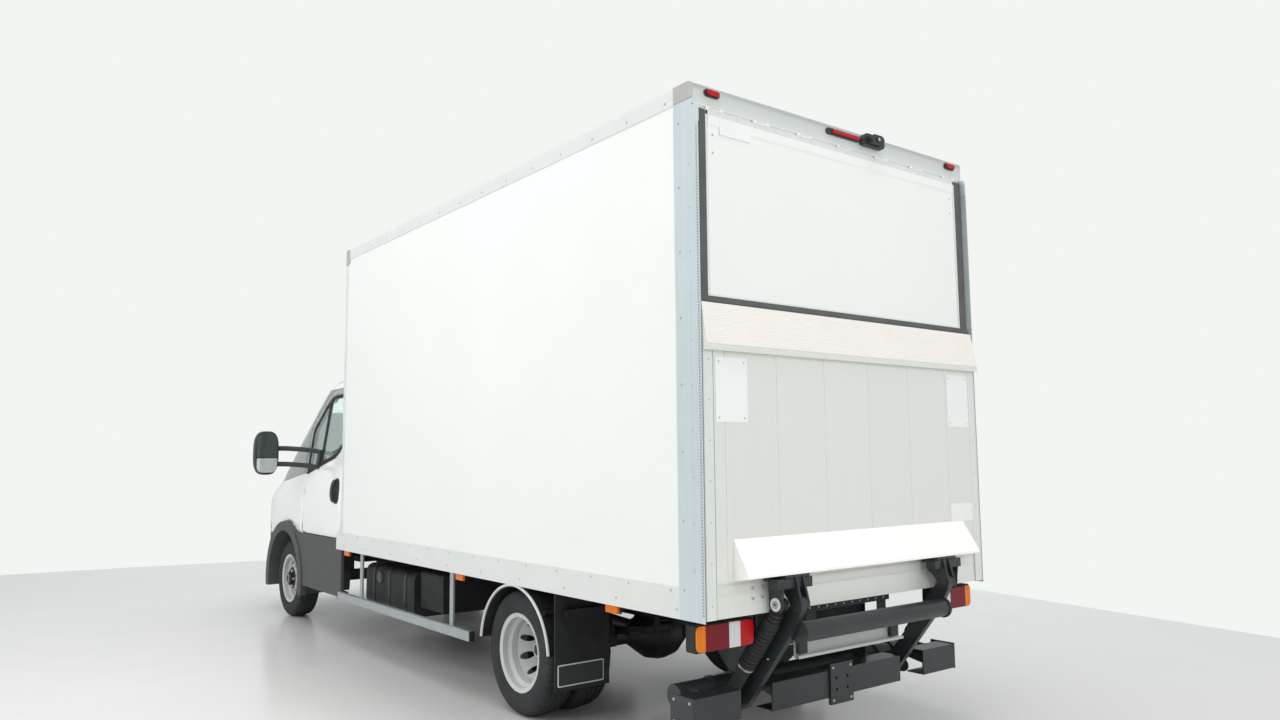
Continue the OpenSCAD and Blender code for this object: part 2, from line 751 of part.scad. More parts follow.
// Wheel arch mouldings, liners and sills in dark plastic
module cladding() {
    face = cab_w / 2;
    color("#5a5d5c") both_sides() {
        arch_ring(arch_r, arch_r + moulding_w, face - moulding_d, face + 16);
        arch_ring(arch_r, arch_r + liner_t, arch_x + seat, face - moulding_d + 1);
        difference() {
            block([face - sill_d, y_fa + 300, sill_z], [face + 4, y_fa + cab_back + 40, door_bottom - shut_gap]);
            bar_x(arch_r + 1, face - 200, face + 200, y_fa, tyre_r);
            block([face - 100, y_fa + 300, sill_z + 40], [face - 20, y_fa + cab_back + 60, 680]);
        }
    }
}

// Two-arm mirror on the door's window divider
mirror_y = 400;

module wing_mirror(s) {
    color("#3b4443") side(s) {
        translate([mirror_reach - 212, y_fa + mirror_y - 50, 1322]) linear_extrude(382) offset(r = 30)
            translate([30, 30]) square([152, 40]);
        difference() {
            for (z = [1400, 1540])
                translate([0, y_fa, z]) linear_extrude(30)
                    polygon([[mirror_reach - 190, mirror_y - 14], [mirror_reach - 190, mirror_y + 16],
                        [cab_w / 2 - 90, divider_y + 22], [cab_w / 2 - 90, divider_y - 22]]);
            cab_form(-seat);
        }
    }
}

module mirror_left() wing_mirror(1);
module mirror_right() wing_mirror(-1);

wheel_r = 205;
wheel_place = [0.24 * cab_w, 490, 1330];

module dashboard() {
    column_l = 195;
    color("#2b2d2f") {
        translate([0, y_fa, 0]) across(cab_w - 220)
            polygon([[130.3, 900], [130.3, 1200], [180, 1290], [330, 1270], [430, 1150], [400, 1000], [260, 900]]);
        // Steering wheel on its column
        translate([wheel_place[0], y_fa + wheel_place[1], wheel_place[2]]) rotate([-60, 0, 0]) {
            rotate_extrude($fn = 48) translate([wheel_r, 0]) circle(r = 15, $fn = 16);
            for (a = [90, 210, 330]) rotate([0, 0, a]) translate([0, -16, -8]) cube([wheel_r, 32, 14]);
            cylinder(h = 40, r = 60, center = true);
            translate([0, 0, -column_l]) cylinder(h = column_l, r = 24);
        }
    }
}

// Seats: centre across the cab, width
seat_rows = [[0.28 * cab_w, 0.25 * cab_w], [-0.15 * cab_w, 0.43 * cab_w]];

module seats() {
    color("#44484a") for (row = seat_rows) {
        x = row[0];
        w = row[1];
        block([x - w / 2 + 40, y_fa + 700, 740], [x + w / 2 - 40, y_fa + 1180, 1011]);
        block([x - w / 2, y_fa + 660, 1010], [x + w / 2, y_fa + 1200, 1130]);
        translate([x, y_fa, 0]) across(w) polygon([[1150, 1129], [1270, 1129], [1340, 1780], [1250, 1780]]);
    }
}

// Wind deflector on the cab roof
module roof_deflector() {
    half = cab_w / 2 - 70;
    y_end = y_box_front - 70;
    low = cab_top - 85;
    rise = box_top - 97 - cab_top;
    color("#f0f3f0") difference() {
        hull() {
            block([-half, y_end - 60, low], [half, y_end, cab_top + rise]);
            block([-half + 120, y_end - 380, low], [half - 120, y_end - 300, cab_top + 0.55 * rise]);
            block([-half + 200, y_fa + 760, low], [half - 200, y_fa + 830, cab_top + 65]);
        }
        hull() {
            block([-half + 40, y_end - 40, low - 50], [half - 40, y_end + 40, cab_top + rise - 40]);
            block([-half + 160, y_end - 340, low - 50], [half - 160, y_end - 300, cab_top + 0.55 * rise - 40]);
            block([-half + 240, y_fa + 800, low - 50], [half - 240, y_fa + 830, cab_top + 25]);
        }
        cab_form(-seat);
    }
}

// Box body

board_z = floor_top - floor_t;
bearer_z = board_z - bearer_h;

floor_half = half_w - 40 - seat;
floor_y0 = y_box_front + panel_t + seat;
floor_y1 = y_box - post_d - seat;

module box_floor() {
    color("#8a6a48") block([-floor_half, floor_y0, board_z], [floor_half, floor_y1, floor_top]);
}

// Cross bearers under the floor, on two sills along the chassis rails
module box_bearers() {
    bearers = floor((floor_y1 - floor_y0 - 60) / bearer_pitch);
    color("#b9bcba") {
        for (i = [0:bearers]) translate([0, floor_y0 + 30 + i * bearer_pitch, 0])
            block([-floor_half, 0, bearer_z + seat], [floor_half, 50, board_z]);
        both_sides() block([frame_w / 2 - 62, floor_y0, frame_top], [frame_w / 2 - 2, rail_y1, bearer_z]);
    }
}

panel_out = half_w - lip_t - seat;
post_y0 = y_box - post_d;
roof_z = box_top - 24;

module side_panels() {
    color("#f2f5f2") both_sides()
        block([panel_out - panel_t, y_box_front + lip_t + seat, floor_top - 24],
              [panel_out, post_y0 - seat, roof_z]);
}

module box_front() {
    color("#f2f5f2") block([-panel_out + panel_t + seat, y_box_front + lip_t + seat, floor_top - 24],
        [panel_out - panel_t - seat, y_box_front + panel_t, roof_z]);
}

module box_roof() {
    color("#f2f5f2") block([-panel_out + 6, y_box_front + lip_t + seat, roof_z + seat],
        [panel_out - 6, post_y0 - seat, box_top - lip_t - seat]);
}

// Rails along the box: lower rail with a hollow foot, upper rail with a rounded corner, front corner strips
module box_rails() {
    foot = 40;
    round_r = 14;
    front_y = y_box_front - 88;
    color("#dde0db") both_sides() {
        translate([0, (front_y + post_y0) / 2, 0]) along(post_y0 - front_y) difference() {
            union() {
                translate([half_w - foot, box_bottom]) square([foot, lower_rail_h - 24 - seat]);
                translate([half_w - lip_t, box_bottom]) square([lip_t, lower_rail_h]);
            }
            translate([half_w - foot + 3, box_bottom + 3]) square([foot - 6, lower_rail_h - 30 - seat]);
        }
        translate([0, (y_box_front + post_y0) / 2, 0]) along(post_y0 - y_box_front) difference() {
            union() {
                translate([half_w - round_r, box_top - round_r]) circle(r = round_r);
                translate([half_w - lip_t, box_top - upper_rail_h]) square([lip_t, upper_rail_h - round_r]);
                translate([half_w - 70, box_top - lip_t]) square([70 - round_r, lip_t]);
            }
            translate([half_w - round_r - 20, box_top - round_r - 20])
                square([round_r + 20 - lip_t, round_r + 20 - lip_t]);
        }
        // Front corner strip, wrapped round the edge
        difference() {
            block([half_w - 45, y_box_front, floor_top + seat], [half_w, y_box_front + 40, box_top - upper_rail_h - seat]);
            block([half_w - 50, y_box_front + lip_t, floor_top], [half_w - lip_t, y_box_front + 50, box_top]);
        }
    }
}

// Rear frame: posts, header beam with a rounded top, sill
web_y = y_box - recess_d;
header_z = box_top - header_h;
header_y1 = y_box - 32;
flap_axis = [y_box - 30, header_z - 9];

// Hollow posts, each with a thin outer strip that hides the platform's edge
module rear_posts() {
    wall = 4;
    color("#c3ccd2") both_sides() {
        translate([0, 0, box_bottom]) linear_extrude(header_z - box_bottom - seat) difference() {
            translate([half_w - post_w, post_y0]) square([post_w, web_y - post_y0]);
            translate([half_w - post_w + wall, post_y0 + wall]) square([post_w - 2 * wall, web_y - post_y0 - 2 * wall]);
        }
        translate([half_w - wall / 2, 0, 0]) across(wall)
            polygon([[web_y + seat, box_bottom], [y_box, box_bottom], [y_box, header_z - 90],
                [header_y1, header_z - seat], [web_y + seat, header_z - seat]]);
    }
}

sill_low = box_bottom + 15;

module rear_sill() {
    color("#c3ccd2") block([-half_w + post_w + seat, post_y0, sill_low], [half_w - post_w - seat, web_y, floor_top]);
}

module header_beam() {
    top_r = 38;
    across(box_w) difference() {
        union() {
            translate([post_y0, header_z]) square([header_y1 - post_y0, header_h - top_r]);
            translate([post_y0, box_top - top_r - 1]) square([header_y1 - post_y0 - top_r, top_r + 1]);
            translate([header_y1 - top_r, box_top - top_r]) circle(r = top_r);
        }
        translate([post_y0 + 5, header_z + 5]) square([header_y1 - post_y0 - 50, header_h - 10]);
    }
}

flap_half = half_w - 12;
hinge_r = 5;
hinge_w = 60;

module rear_header() {
    color("#c9cfcc") {
        header_beam();
        for (i = [0:flap_hinges - 1]) {
            x = -flap_half + 120 + i * (2 * flap_half - 240) / (flap_hinges - 1);
            for (s = [-1, 1]) translate([x + s * (hinge_w / 2 + 13), 0, 0]) {
                bar_x(hinge_r, -12, 12, flap_axis[0], flap_axis[1]);
                block([-12, flap_axis[0] - hinge_r, flap_axis[1]], [12, flap_axis[0] + 2, header_z + 3]);
            }
        }
    }
}

flap_bottom = platform_top + 8;

module flap_door() {
    y1 = flap_axis[0] - 3;
    top = flap_axis[1] - 4;
    color("#f2f5f2") {
        block([-flap_half, y1 - flap_t, flap_bottom], [flap_half, y1, top]);
        for (i = [0:flap_hinges - 1]) {
            x = -flap_half + 120 + i * (2 * flap_half - 240) / (flap_hinges - 1);
            bar_x(hinge_r, x - hinge_w / 2, x + hinge_w / 2, flap_axis[0], flap_axis[1]);
            block([x - hinge_w / 2, y1 - 1, top - 60], [x + hinge_w / 2, y1 + 3, flap_axis[1]]);
        }
    }
}

// Side markers: place along the truck before the rear posts' edge
marker_places = [4288, 2331, 700];

module marker_lamps() {
    color("#f58220") both_sides() for (m = marker_places)
        block([half_w - 30, y_box - m - 50, box_bottom - 40], [half_w - 4, y_box - m + 50, box_bottom]);
    color("#b0060e") both_sides() translate([935, header_y1, header_z + 52]) rotate([-90, 0, 0]) cylinder(h = 12, r = 20);
    color("#b0060e") block([-130, header_y1, header_z + 45], [130, header_y1 + 22, header_z + 75]);
    color("#26292b") block([-230, header_y1, header_z + 30], [-140, header_y1 + 40, header_z + 80]);
}

// Platform lift

hinge_y = y_box + hinge_back;
arm_dy = arm_l * cos(arm_angle);
arm_dz = arm_l * sin(arm_angle);
arm_pivot = [hinge_y - arm_dy, hinge_z - arm_dz];
eye = [hinge_y - tilt_lever, hinge_z - 3];
ram_pivot = [eye[0] - arm_dy, eye[1] - arm_dz];

// Pieces laid out along an arm from its lower pin, then turned to the stowed angle
module on_arm(pivot) {
    translate([0, pivot[0], pivot[1]]) rotate([arm_angle, 0, 0]) children();
}

module lift_arms() {
    tube_along = arm_l - 118;
    tube_below = 66;
    gusset_t = 12;
    inner_x = arm_x - arm_t / 2;
    color("#34393b") {
        both_sides() translate([arm_x, 0, 0]) on_arm(arm_pivot) difference() {
            across(arm_t) offset(r = 32) polygon([[0, 5], [60, arm_d / 2 - 32], [arm_l - 150, arm_d / 2 - 40], [arm_l, 0.1],
                [arm_l, -0.1], [arm_l - 150, 24 - arm_d / 2], [60, 32 - arm_d / 2], [0, -5]]);
            bar_x(pin_r + seat, -50, 50, 0, 0);
            bar_x(pin_r + seat, -50, 50, arm_l, 0);
        }
        on_arm(arm_pivot) bar_x(cross_tube_r, -inner_x - 2, inner_x + 2, tube_along, -tube_below);
        both_sides() translate([inner_x, 0, 0]) on_arm(arm_pivot) across(gusset_t) hull() {
            translate([tube_along, -tube_below]) circle(r = cross_tube_r + 6);
            translate([tube_along - 60, 0]) circle(r = 20);
        }
    }
}

barrel_r = 34;

module tilt_barrels() {
    barrel_l = 250;
    ribs = 14;
    pitch = 20;
    color("#26292b") both_sides() translate([ram_x, 0, 0]) on_arm(ram_pivot) {
        difference() {
            union() {
                bar_x(28, -20, 20, 0, 0);
                translate([0, 50, 0]) rotate([-90, 0, 0]) cylinder(h = barrel_l - 50, r = barrel_r);
                rotate([-90, 0, 0]) cylinder(h = 60, r = 22);
            }
            bar_x(pin_r + seat, -50, 50, 0, 0);
            rotate([-90, 0, 0]) translate([0, 0, 60]) cylinder(h = barrel_l, r = 24);
        }
        // Rubber bellows over the rod
        translate([0, barrel_l, 0]) rotate([-90, 0, 0]) rotate_extrude() polygon(concat(
            [[24, 0]], [for (i = [0:2 * ribs]) [i % 2 == 0 ? bellows_r - 9 : bellows_r, i * pitch / 2]], [[24, ribs * pitch]]));
    }
}

module tilt_rods() {
    // Inner end of the rod, measured from the cylinder's lower pin
    rod_start = 140;
    color("#34393b") both_sides() translate([ram_x, 0, 0]) on_arm(ram_pivot) {
        difference() {
            union() {
                bar_x(27, -18, 18, arm_l, 0);
                translate([0, arm_l, 0]) rotate([90, 0, 0]) cylinder(h = 60, r = 20);
                translate([0, arm_l, 0]) rotate([90, 0, 0]) cylinder(h = arm_l - rod_start, r = 18);
            }
            bar_x(pin_r - seat, -50, 50, arm_l, 0);
        }
    }
    color("#e8eae8") both_sides() translate([ram_x, 0, 0]) on_arm(ram_pivot)
        bar_x(pin_r - 2 * seat, -34, 24, arm_l, 0);
}

ear_t = 11;
// Underside of the root wedge at a distance behind the deck
function wedge_under(dy) = wedge_bottom - 24 + 16 * dy / wedge_d;

module platform_brackets() {
    x_in = arm_x - arm_t / 2 - 1 - ear_t;
    x_out = arm_x + arm_t / 2 + 1;
    foot_t = 14;
    foot = [for (dy = [2, wedge_d]) [y_box + dy, wedge_under(dy) - seat]];
    color("#1f2122") both_sides() {
        for (x = [x_in, x_out]) translate([x + ear_t / 2, 0, 0]) across(ear_t) hull() {
            translate([hinge_y, hinge_z]) circle(r = ear_r);
            polygon([foot[0], foot[1], foot[1] - [2, 60], foot[0] - [0, 44]]);
        }
        translate([(x_in + x_out) / 2 + 16, 0, 0]) across(x_out - x_in + 112)
            polygon([foot[0], foot[1], foot[1] - [0, foot_t], foot[0] - [0, foot_t]]);
        bar_x(pin_r, x_in, x_out + ear_t, hinge_y, hinge_z);
    }
}

module platform_wedge() {
    color("#fbf8ee") across(2 * wedge_half) polygon([[y_box + seat, wedge_top], [y_box + wedge_d, wedge_bottom + 4],
        [y_box + wedge_d, wedge_under(wedge_d)], [y_box + seat, wedge_under(0)]]);
}

module platform() {
    half = platform_w / 2;
    deck_top = platform_top - lip_h;
    // The outermost full plank begins this far inside the edge profile
    part_plank = 67;
    first_x = half - plank_edge - part_plank;
    face_y = y_box;
    color("#d8dad5") difference() {
        block([-half, face_y - platform_t, platform_bottom], [half, face_y, deck_top]);
        for (x = concat([half - plank_edge, plank_edge - half], [for (i = [0:floor(first_x * 2 / plank_w)]) first_x - i * plank_w]))
            translate([x, face_y, 0]) linear_extrude(5000) circle(r = 3, $fn = 8);
        // Thinner root flange below the wedge
        block([-half + 60, face_y - 6, platform_bottom - 1], [half - 60, face_y + 1, wedge_bottom - 30]);
    }
    // Tapered lip, proud at its lower edge
    color("#efe3da") across(platform_w) polygon([[face_y - platform_t, deck_top + seat], [face_y + 26, deck_top - 12 + seat],
        [face_y + 28, deck_top + 8], [face_y - 6, platform_top], [face_y - 14, platform_top],
        [face_y - platform_t, deck_top + 70]]);
}

// Lift frame under the box, with the underrun bars
bar_gap = [arm_x - 75, ram_x + 62];
underrun_y = y_box - 165;

plate_w = 170;
plate_h = 200;
plate_t = 12;
hole_dx = 83;
hole_dz = 56;
hole_r = 8;

module underrun_profile() {
    difference() {
        square([110, underrun_h], center = true);
        translate([-8, 0]) square([110, underrun_h - 12], center = true);
    }
}

module lift_frame() {
    bar_z = underrun_z + underrun_h / 2;
    bar_y = underrun_y - 55;
    hanger_x = arm_x - arm_t / 2 - 12;
    color("#2a2e30") {
        // Underrun bars with gaps for the arms
        for (s = [-1, 1]) side(s) translate([(plate_w / 2 + bar_gap[0]) / 2, bar_y, bar_z])
            across(bar_gap[0] - plate_w / 2 + 2) underrun_profile();
        both_sides() {
            translate([(bar_gap[1] + underrun_half) / 2, bar_y, bar_z]) across(underrun_half - bar_gap[1])
                underrun_profile();
            block([underrun_half, bar_y - 100, underrun_z - 4], [underrun_half + 8, underrun_y, underrun_z + underrun_h + 4]);
        }
        // Plate for a trailer coupling, bolted on
        difference() {
            block([-plate_w / 2, underrun_y - 6, bar_z - plate_h / 2], [plate_w / 2, underrun_y + plate_t, bar_z + plate_h / 2]);
            for (x = [-1, 1], z = [-1, 1]) translate([x * hole_dx / 2, underrun_y - 20, bar_z + z * hole_dz / 2])
                rotate([-90, 0, 0]) cylinder(h = 60, r = hole_r);
        }
        // Cross tube and the plates that carry arm and cylinder pivots
        bar_x(52, -900, 900, arm_pivot[0] - 110, arm_pivot[1] + 60);
        both_sides() {
            for (x = [arm_x - arm_t / 2 - 1 - 12, ram_x + barrel_r + 5]) translate([x + 6, 0, 0]) across(12) hull() {
                translate(arm_pivot) circle(r = 34);
                translate([ram_pivot[0], ram_pivot[1]]) circle(r = 34);
                translate([arm_pivot[0] - 110, arm_pivot[1] + 60]) circle(r = 60);
            }
            bar_x(pin_r, hanger_x, arm_x + arm_t / 2 + 1, arm_pivot[0], arm_pivot[1]);
            bar_x(pin_r, ram_x - 24, ram_x + barrel_r + 16, ram_pivot[0], ram_pivot[1]);
            // Hanger plate up to the chassis rail
            translate([frame_w / 2 + 6 + seat, 0, 0]) across(12) polygon([
                [arm_pivot[0] - 170, arm_pivot[1] + 20], [arm_pivot[0] - 50, arm_pivot[1] + 20],
                [rail_y1 - 20, frame_top - frame_h + 40], [rail_y1 - 20, frame_top - 10],
                [rail_y1 - 420, frame_top - 10], [rail_y1 - 420, frame_top - frame_h + 40]]);
            // Brackets from the cross tube to the bars
            for (x = [350, 850]) translate([x, 0, 0]) across(12) polygon([
                [arm_pivot[0] - 110, arm_pivot[1] + 110], [bar_y + 40, underrun_z + underrun_h - 6],
                [bar_y + 40, underrun_z + 6], [arm_pivot[0] - 110, arm_pivot[1] + 10]]);
        }
    }
}

module side_guards() {
    y0 = y_box - 4469;
    y1 = y_box - 2181;
    x1 = half_w - 4;
    color("#b9bdbd") both_sides() {
        block([x1 - 28, y0, guard_z], [x1, y1, guard_z + guard_h]);
        for (y = [y0 + 436, y1 - 306])
            block([x1 - 40, y - 25, guard_z + 5], [x1 - 28, y + 25, box_bottom]);
    }
}

module mudguards() {
    x0 = rear_tyre_x - twin_pitch - tyre_w / 2 + 4;
    x1 = half_w - 8;
    wall = 5;
    rod_r = 14;
    rod_angle = 41;
    flap_low = 215;
    reach = mudguard_r + wall + rod_r - 1;
    color("#2b2d2f") both_sides() {
        translate([x0, y_ra, tyre_r]) rotate([0, 90, 0]) intersection() {
            difference() {
                cylinder(h = x1 - x0, r = mudguard_r + wall, $fn = 96);
                translate([0, 0, -1]) cylinder(h = x1 - x0 + 2, r = mudguard_r, $fn = 96);
            }
            translate([-500, -500, 0]) cube([460, 1000, x1 - x0]);
        }
        for (s = [-1, 1])
            bar_x(rod_r, frame_w / 2 + seat, x1 - 20, y_ra + s * reach * cos(rod_angle), tyre_r + reach * sin(rod_angle));
        // Mud flap behind the wheels
        block([x0 + 100, y_ra + mudguard_r + 62, flap_low], [x1, y_ra + mudguard_r + 70, box_bottom - seat]);
        block([frame_w / 2 + seat, y_ra + mudguard_r + 69, 600], [x1 - 60, y_ra + mudguard_r + 99, 640]);
    }
}

module tail_lamps() {
    x0 = 700;
    x1 = 1010;
    y0 = y_box - 150;
    color("#8b1e2b") both_sides() block([x0, y0, 592], [x1, y0 + 70, 702]);
    color("#26292b") both_sides() block([x0 + 40, y0 - 6, 600], [x1 - 60, y0, sill_low - seat]);
}

chassis_rails();
crossmembers();
engine();
rear_axle();
propeller_shaft();
rear_springs();
front_suspension();
knuckle_left();
knuckle_right();
tyre_front_left();
tyre_front_right();
tyres_rear_left();
tyres_rear_right();
rim_front_left();
rim_front_right();
rims_rear_left();
rims_rear_right();
fuel_tank();
cab_body();
door_left();
door_right();
glass_left();
glass_right();
windscreen();
bonnet();
front_bumper();
grille();
headlamps();
cladding();
mirror_left();
mirror_right();
dashboard();
seats();
roof_deflector();
box_floor();
box_bearers();
side_panels();
box_front();
box_roof();
box_rails();
rear_posts();
rear_sill();
rear_header();
flap_door();
marker_lamps();
lift_frame();
lift_arms();
tilt_barrels();
tilt_rods();
platform();
platform_wedge();
platform_brackets();
side_guards();
mudguards();
tail_lamps();
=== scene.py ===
import math
import bmesh
import bpy
import numpy as np
from mathutils import Matrix, Vector
from mathutils.geometry import delaunay_2d_cdt


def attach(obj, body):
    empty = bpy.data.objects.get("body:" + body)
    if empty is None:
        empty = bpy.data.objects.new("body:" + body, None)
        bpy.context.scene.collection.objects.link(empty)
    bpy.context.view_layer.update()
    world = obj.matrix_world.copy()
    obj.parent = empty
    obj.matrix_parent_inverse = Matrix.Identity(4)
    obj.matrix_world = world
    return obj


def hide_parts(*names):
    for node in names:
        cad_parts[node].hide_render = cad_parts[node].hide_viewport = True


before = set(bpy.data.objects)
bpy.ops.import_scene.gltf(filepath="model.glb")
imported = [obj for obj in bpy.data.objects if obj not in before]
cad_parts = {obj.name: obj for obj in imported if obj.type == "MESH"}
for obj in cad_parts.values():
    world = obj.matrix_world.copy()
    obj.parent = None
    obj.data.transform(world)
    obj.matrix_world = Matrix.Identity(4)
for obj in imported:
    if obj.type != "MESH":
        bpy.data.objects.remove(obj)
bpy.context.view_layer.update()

print("frame loaded")

# Places in metres, as in the part's source. The truck faces -Y, its left side is +X
place = {"rearAxleY": 1.7795, "frontAxleY": -2.5705, "tyreRadius": 0.348, "boxRearY": 3.4395,
         "boxFrontY": -0.9805, "boxHalf": 1.05}
rearY, frontY, faceX = place["boxRearY"], place["boxFrontY"], place["boxHalf"]
axleY, backAxleY, tyreR = place["frontAxleY"], place["rearAxleY"], place["tyreRadius"]


def linearColour(hexText, alpha=1.0):
    # sRGB hex to the linear values that shader sockets take
    raw = np.array([int(hexText[i:i + 2], 16) for i in (1, 3, 5)]) / 255
    return (*np.where(raw <= 0.04045, raw / 12.92, ((raw + 0.055) / 1.055) ** 2.4), alpha)


def addNode(tree, kind, settings=None, links=None):
    # Adds one node, sets its properties and default values, and links the sockets given as (node, output)
    node = tree.nodes.new(kind)
    for key, value in (settings or {}).items():
        if isinstance(key, str) and hasattr(node, key):
            setattr(node, key, value)
        else:
            node.inputs[key].default_value = value
    for key, (source, output) in (links or {}).items():
        tree.links.new(source.outputs[output], node.inputs[key])
    return node


def newMaterial(name, colour, metallic=0.0, roughness=0.5, **extra):
    # Principled shader on its own, ready for a pattern; returns material, tree, shader and object coordinates
    material = bpy.data.materials.new(name)
    material.use_nodes = True
    tree = material.node_tree
    tree.nodes.clear()
    shader = addNode(tree, "ShaderNodeBsdfPrincipled", {
        "Base Color": linearColour(colour), "Metallic": metallic, "Roughness": roughness, **extra})
    addNode(tree, "ShaderNodeOutputMaterial", None, {"Surface": (shader, "BSDF")})
    coords = addNode(tree, "ShaderNodeTexCoord")
    return material, tree, shader, coords


def stretch(tree, coords, scale):
    # Object coordinates times a scale along each axis
    return addNode(tree, "ShaderNodeMapping", {"Scale": scale}, {"Vector": (coords, "Object")})


def noise(tree, source, scale, detail=3.0, rough=0.55):
    # Cloudy pattern, scale in cycles per metre
    return addNode(tree, "ShaderNodeTexNoise", {"Scale": scale, "Detail": detail, "Roughness": rough},
                   {"Vector": source})


def ramp(tree, source, stops):
    # Colour or value between stops of (place from 0 to 1, sRGB hex or grey value)
    node = addNode(tree, "ShaderNodeValToRGB", None, {"Fac": source})
    band = node.color_ramp
    while len(band.elements) < len(stops):
        band.elements.new(0.5)
    for element, (at, value) in zip(band.elements, stops):
        element.position = at
        element.color = linearColour(value) if isinstance(value, str) else (value, value, value, 1)
    return node


def bump(tree, shader, source, strength, depth):
    # Surface relief, depth in metres
    node = addNode(tree, "ShaderNodeBump", {"Strength": strength, "Distance": depth}, {"Height": source})
    tree.links.new(node.outputs["Normal"], shader.inputs["Normal"])


def tint(tree, shader, source, stops):
    # Base colour from a pattern's value
    tree.links.new(ramp(tree, source, stops).outputs["Color"], shader.inputs["Base Color"])


def vary(tree, shader, source, low, high):
    # Roughness = low + (high - low) * pattern
    node = addNode(tree, "ShaderNodeMapRange", {"To Min": low, "To Max": high}, {"Value": source})
    tree.links.new(node.outputs["Result"], shader.inputs["Roughness"])


def nodesOf(material):
    # Node tree, shader and object coordinates of a finished material, so that a pattern can be added to it
    tree = material.node_tree
    found = {node.bl_idname: node for node in tree.nodes}
    return tree, found["ShaderNodeBsdfPrincipled"], found["ShaderNodeTexCoord"]


def paint(name, colour, shade, roughness=0.22, coat=0.6):
    # Two-layer vehicle paint: faint clouds of dust, fine orange peel 2 mm across
    material, tree, shader, coords = newMaterial(name, colour, 0.0, roughness, **{
        "Coat Weight": coat, "Coat Roughness": 0.06})
    clouds = noise(tree, (coords, "Object"), 1.7, 4)
    tint(tree, shader, (clouds, "Fac"), [(0.25, shade), (0.75, colour)])
    peel = noise(tree, (coords, "Object"), 500, 1)
    vary(tree, shader, (clouds, "Fac"), roughness * 0.92, roughness * 1.12)
    bump(tree, shader, (peel, "Fac"), 0.03, 0.0004)
    return material


def brushedMetal(name, colour, shade, grain, roughness=0.36, metallic=0.85):
    # Extruded or rolled aluminium: die lines drawn along one axis about 1 mm apart, cloudy oxide between them
    material, tree, shader, coords = newMaterial(name, colour, metallic, roughness)
    lines = noise(tree, (stretch(tree, coords, grain), "Vector"), 1.0, 2)
    cloud = noise(tree, (coords, "Object"), 5.0, 5)
    mixed = addNode(tree, "ShaderNodeMix", {"data_type": "FLOAT", "Factor": 0.45},
                    {"A": (lines, "Fac"), "B": (cloud, "Fac")})
    tint(tree, shader, (mixed, "Result"), [(0.35, shade), (0.65, colour)])
    vary(tree, shader, (mixed, "Result"), roughness - 0.08, roughness + 0.14)
    bump(tree, shader, (lines, "Fac"), 0.12, 0.0006)
    return material


def grainedPlastic(name, colour, shade, roughness=0.6, grit=900):
    # Moulded plastic with a leather-like grain about 1 mm across
    material, tree, shader, coords = newMaterial(name, colour, 0.0, roughness)
    cells = addNode(tree, "ShaderNodeTexVoronoi", {"Scale": grit}, {"Vector": (coords, "Object")})
    cloud = noise(tree, (coords, "Object"), 9.0, 4)
    tint(tree, shader, (cloud, "Fac"), [(0.3, shade), (0.7, colour)])
    vary(tree, shader, (cloud, "Fac"), roughness - 0.1, roughness + 0.12)
    bump(tree, shader, (cells, "Distance"), 0.18, 0.0006)
    return material


def lens(name, colour, ribHighlight):
    # Acrylic lens with ribs 4 mm apart inside it, and painted highlights along the ribs
    material, tree, shader, coords = newMaterial(name, colour, 0.0, 0.22, **{
        "Coat Weight": 0.15, "Coat Roughness": 0.05, "Specular IOR Level": 0.25})
    ribs = addNode(tree, "ShaderNodeTexWave", {"Scale": 40.0, "bands_direction": "X", "Distortion": 0.0},
                   {"Vector": (coords, "Object")})
    tint(tree, shader, (ribs, "Fac"), [(0.2, colour), (0.9, ribHighlight)])
    bump(tree, shader, (ribs, "Fac"), 0.3, 0.0012)
    return material


# Box panels: gel-coated glass fibre laminate, smooth and glossy, a faintly green white
gelcoat = paint("gelcoatPanelWhite", "#EFF2EE", "#ECEFEB", 0.14, 0.8)
# Cab: steel body with clear coat, the glossiest white
cabPaint = paint("cabPaintWhite", "#F3F6F3", "#F0F4F1", 0.18, 1.0)
# The doors' window frames and the screen pillars are painted grey above the belt line, as painted shade on
# the white paint. The line's height is the largest of three straight ones, z = level + slope * (y - back),
# where y is behind the front axle
pillarShade = {"hex": "#7F8785", "top": 2.078, "aside": 0.735, "front": -0.345, "rear": 1.374,
              "lines": ((0.138, 1.335, 0.468), (0.213, 1.335, 0.468), (0.52, 1.476, 1.130))}
tree, shader, coords = nodesOf(cabPaint)
axes = addNode(tree, "ShaderNodeSeparateXYZ", None, {"Vector": (coords, "Object")})
beltLines = [addNode(tree, "ShaderNodeMath",
                     {"operation": "MULTIPLY_ADD", 1: slope, 2: level - slope * (axleY + back)},
                     {0: (axes, "Y")}) for slope, level, back in pillarShade["lines"]]
belt = beltLines[0]
for line in beltLines[1:]:
    belt = addNode(tree, "ShaderNodeMath", {"operation": "MAXIMUM"}, {0: (belt, "Value"), 1: (line, "Value")})
aside = addNode(tree, "ShaderNodeMath", {"operation": "ABSOLUTE"}, {0: (axes, "X")})
limits = [("LESS_THAN", (axes, "Z"), pillarShade["top"]),
          ("GREATER_THAN", (aside, "Value"), pillarShade["aside"]),
          ("LESS_THAN", (axes, "Y"), axleY + pillarShade["rear"]),
          ("GREATER_THAN", (axes, "Y"), axleY + pillarShade["front"])]
tests = [addNode(tree, "ShaderNodeMath", {"operation": "GREATER_THAN"}, {0: (axes, "Z"), 1: (belt, "Value")})]
tests += [addNode(tree, "ShaderNodeMath", {"operation": test, 1: limit}, {0: value})
          for test, value, limit in limits]
# Painted shade mask: 1 where the grey shade goes over the white paint on pillars and window frames, 0
# elsewhere
pillarShadeMask = tests[0]
for test in tests[1:]:
    pillarShadeMask = addNode(tree, "ShaderNodeMath", {"operation": "MULTIPLY"},
                   {0: (pillarShadeMask, "Value"), 1: (test, "Value")})
white = shader.inputs["Base Color"].links[0].from_node
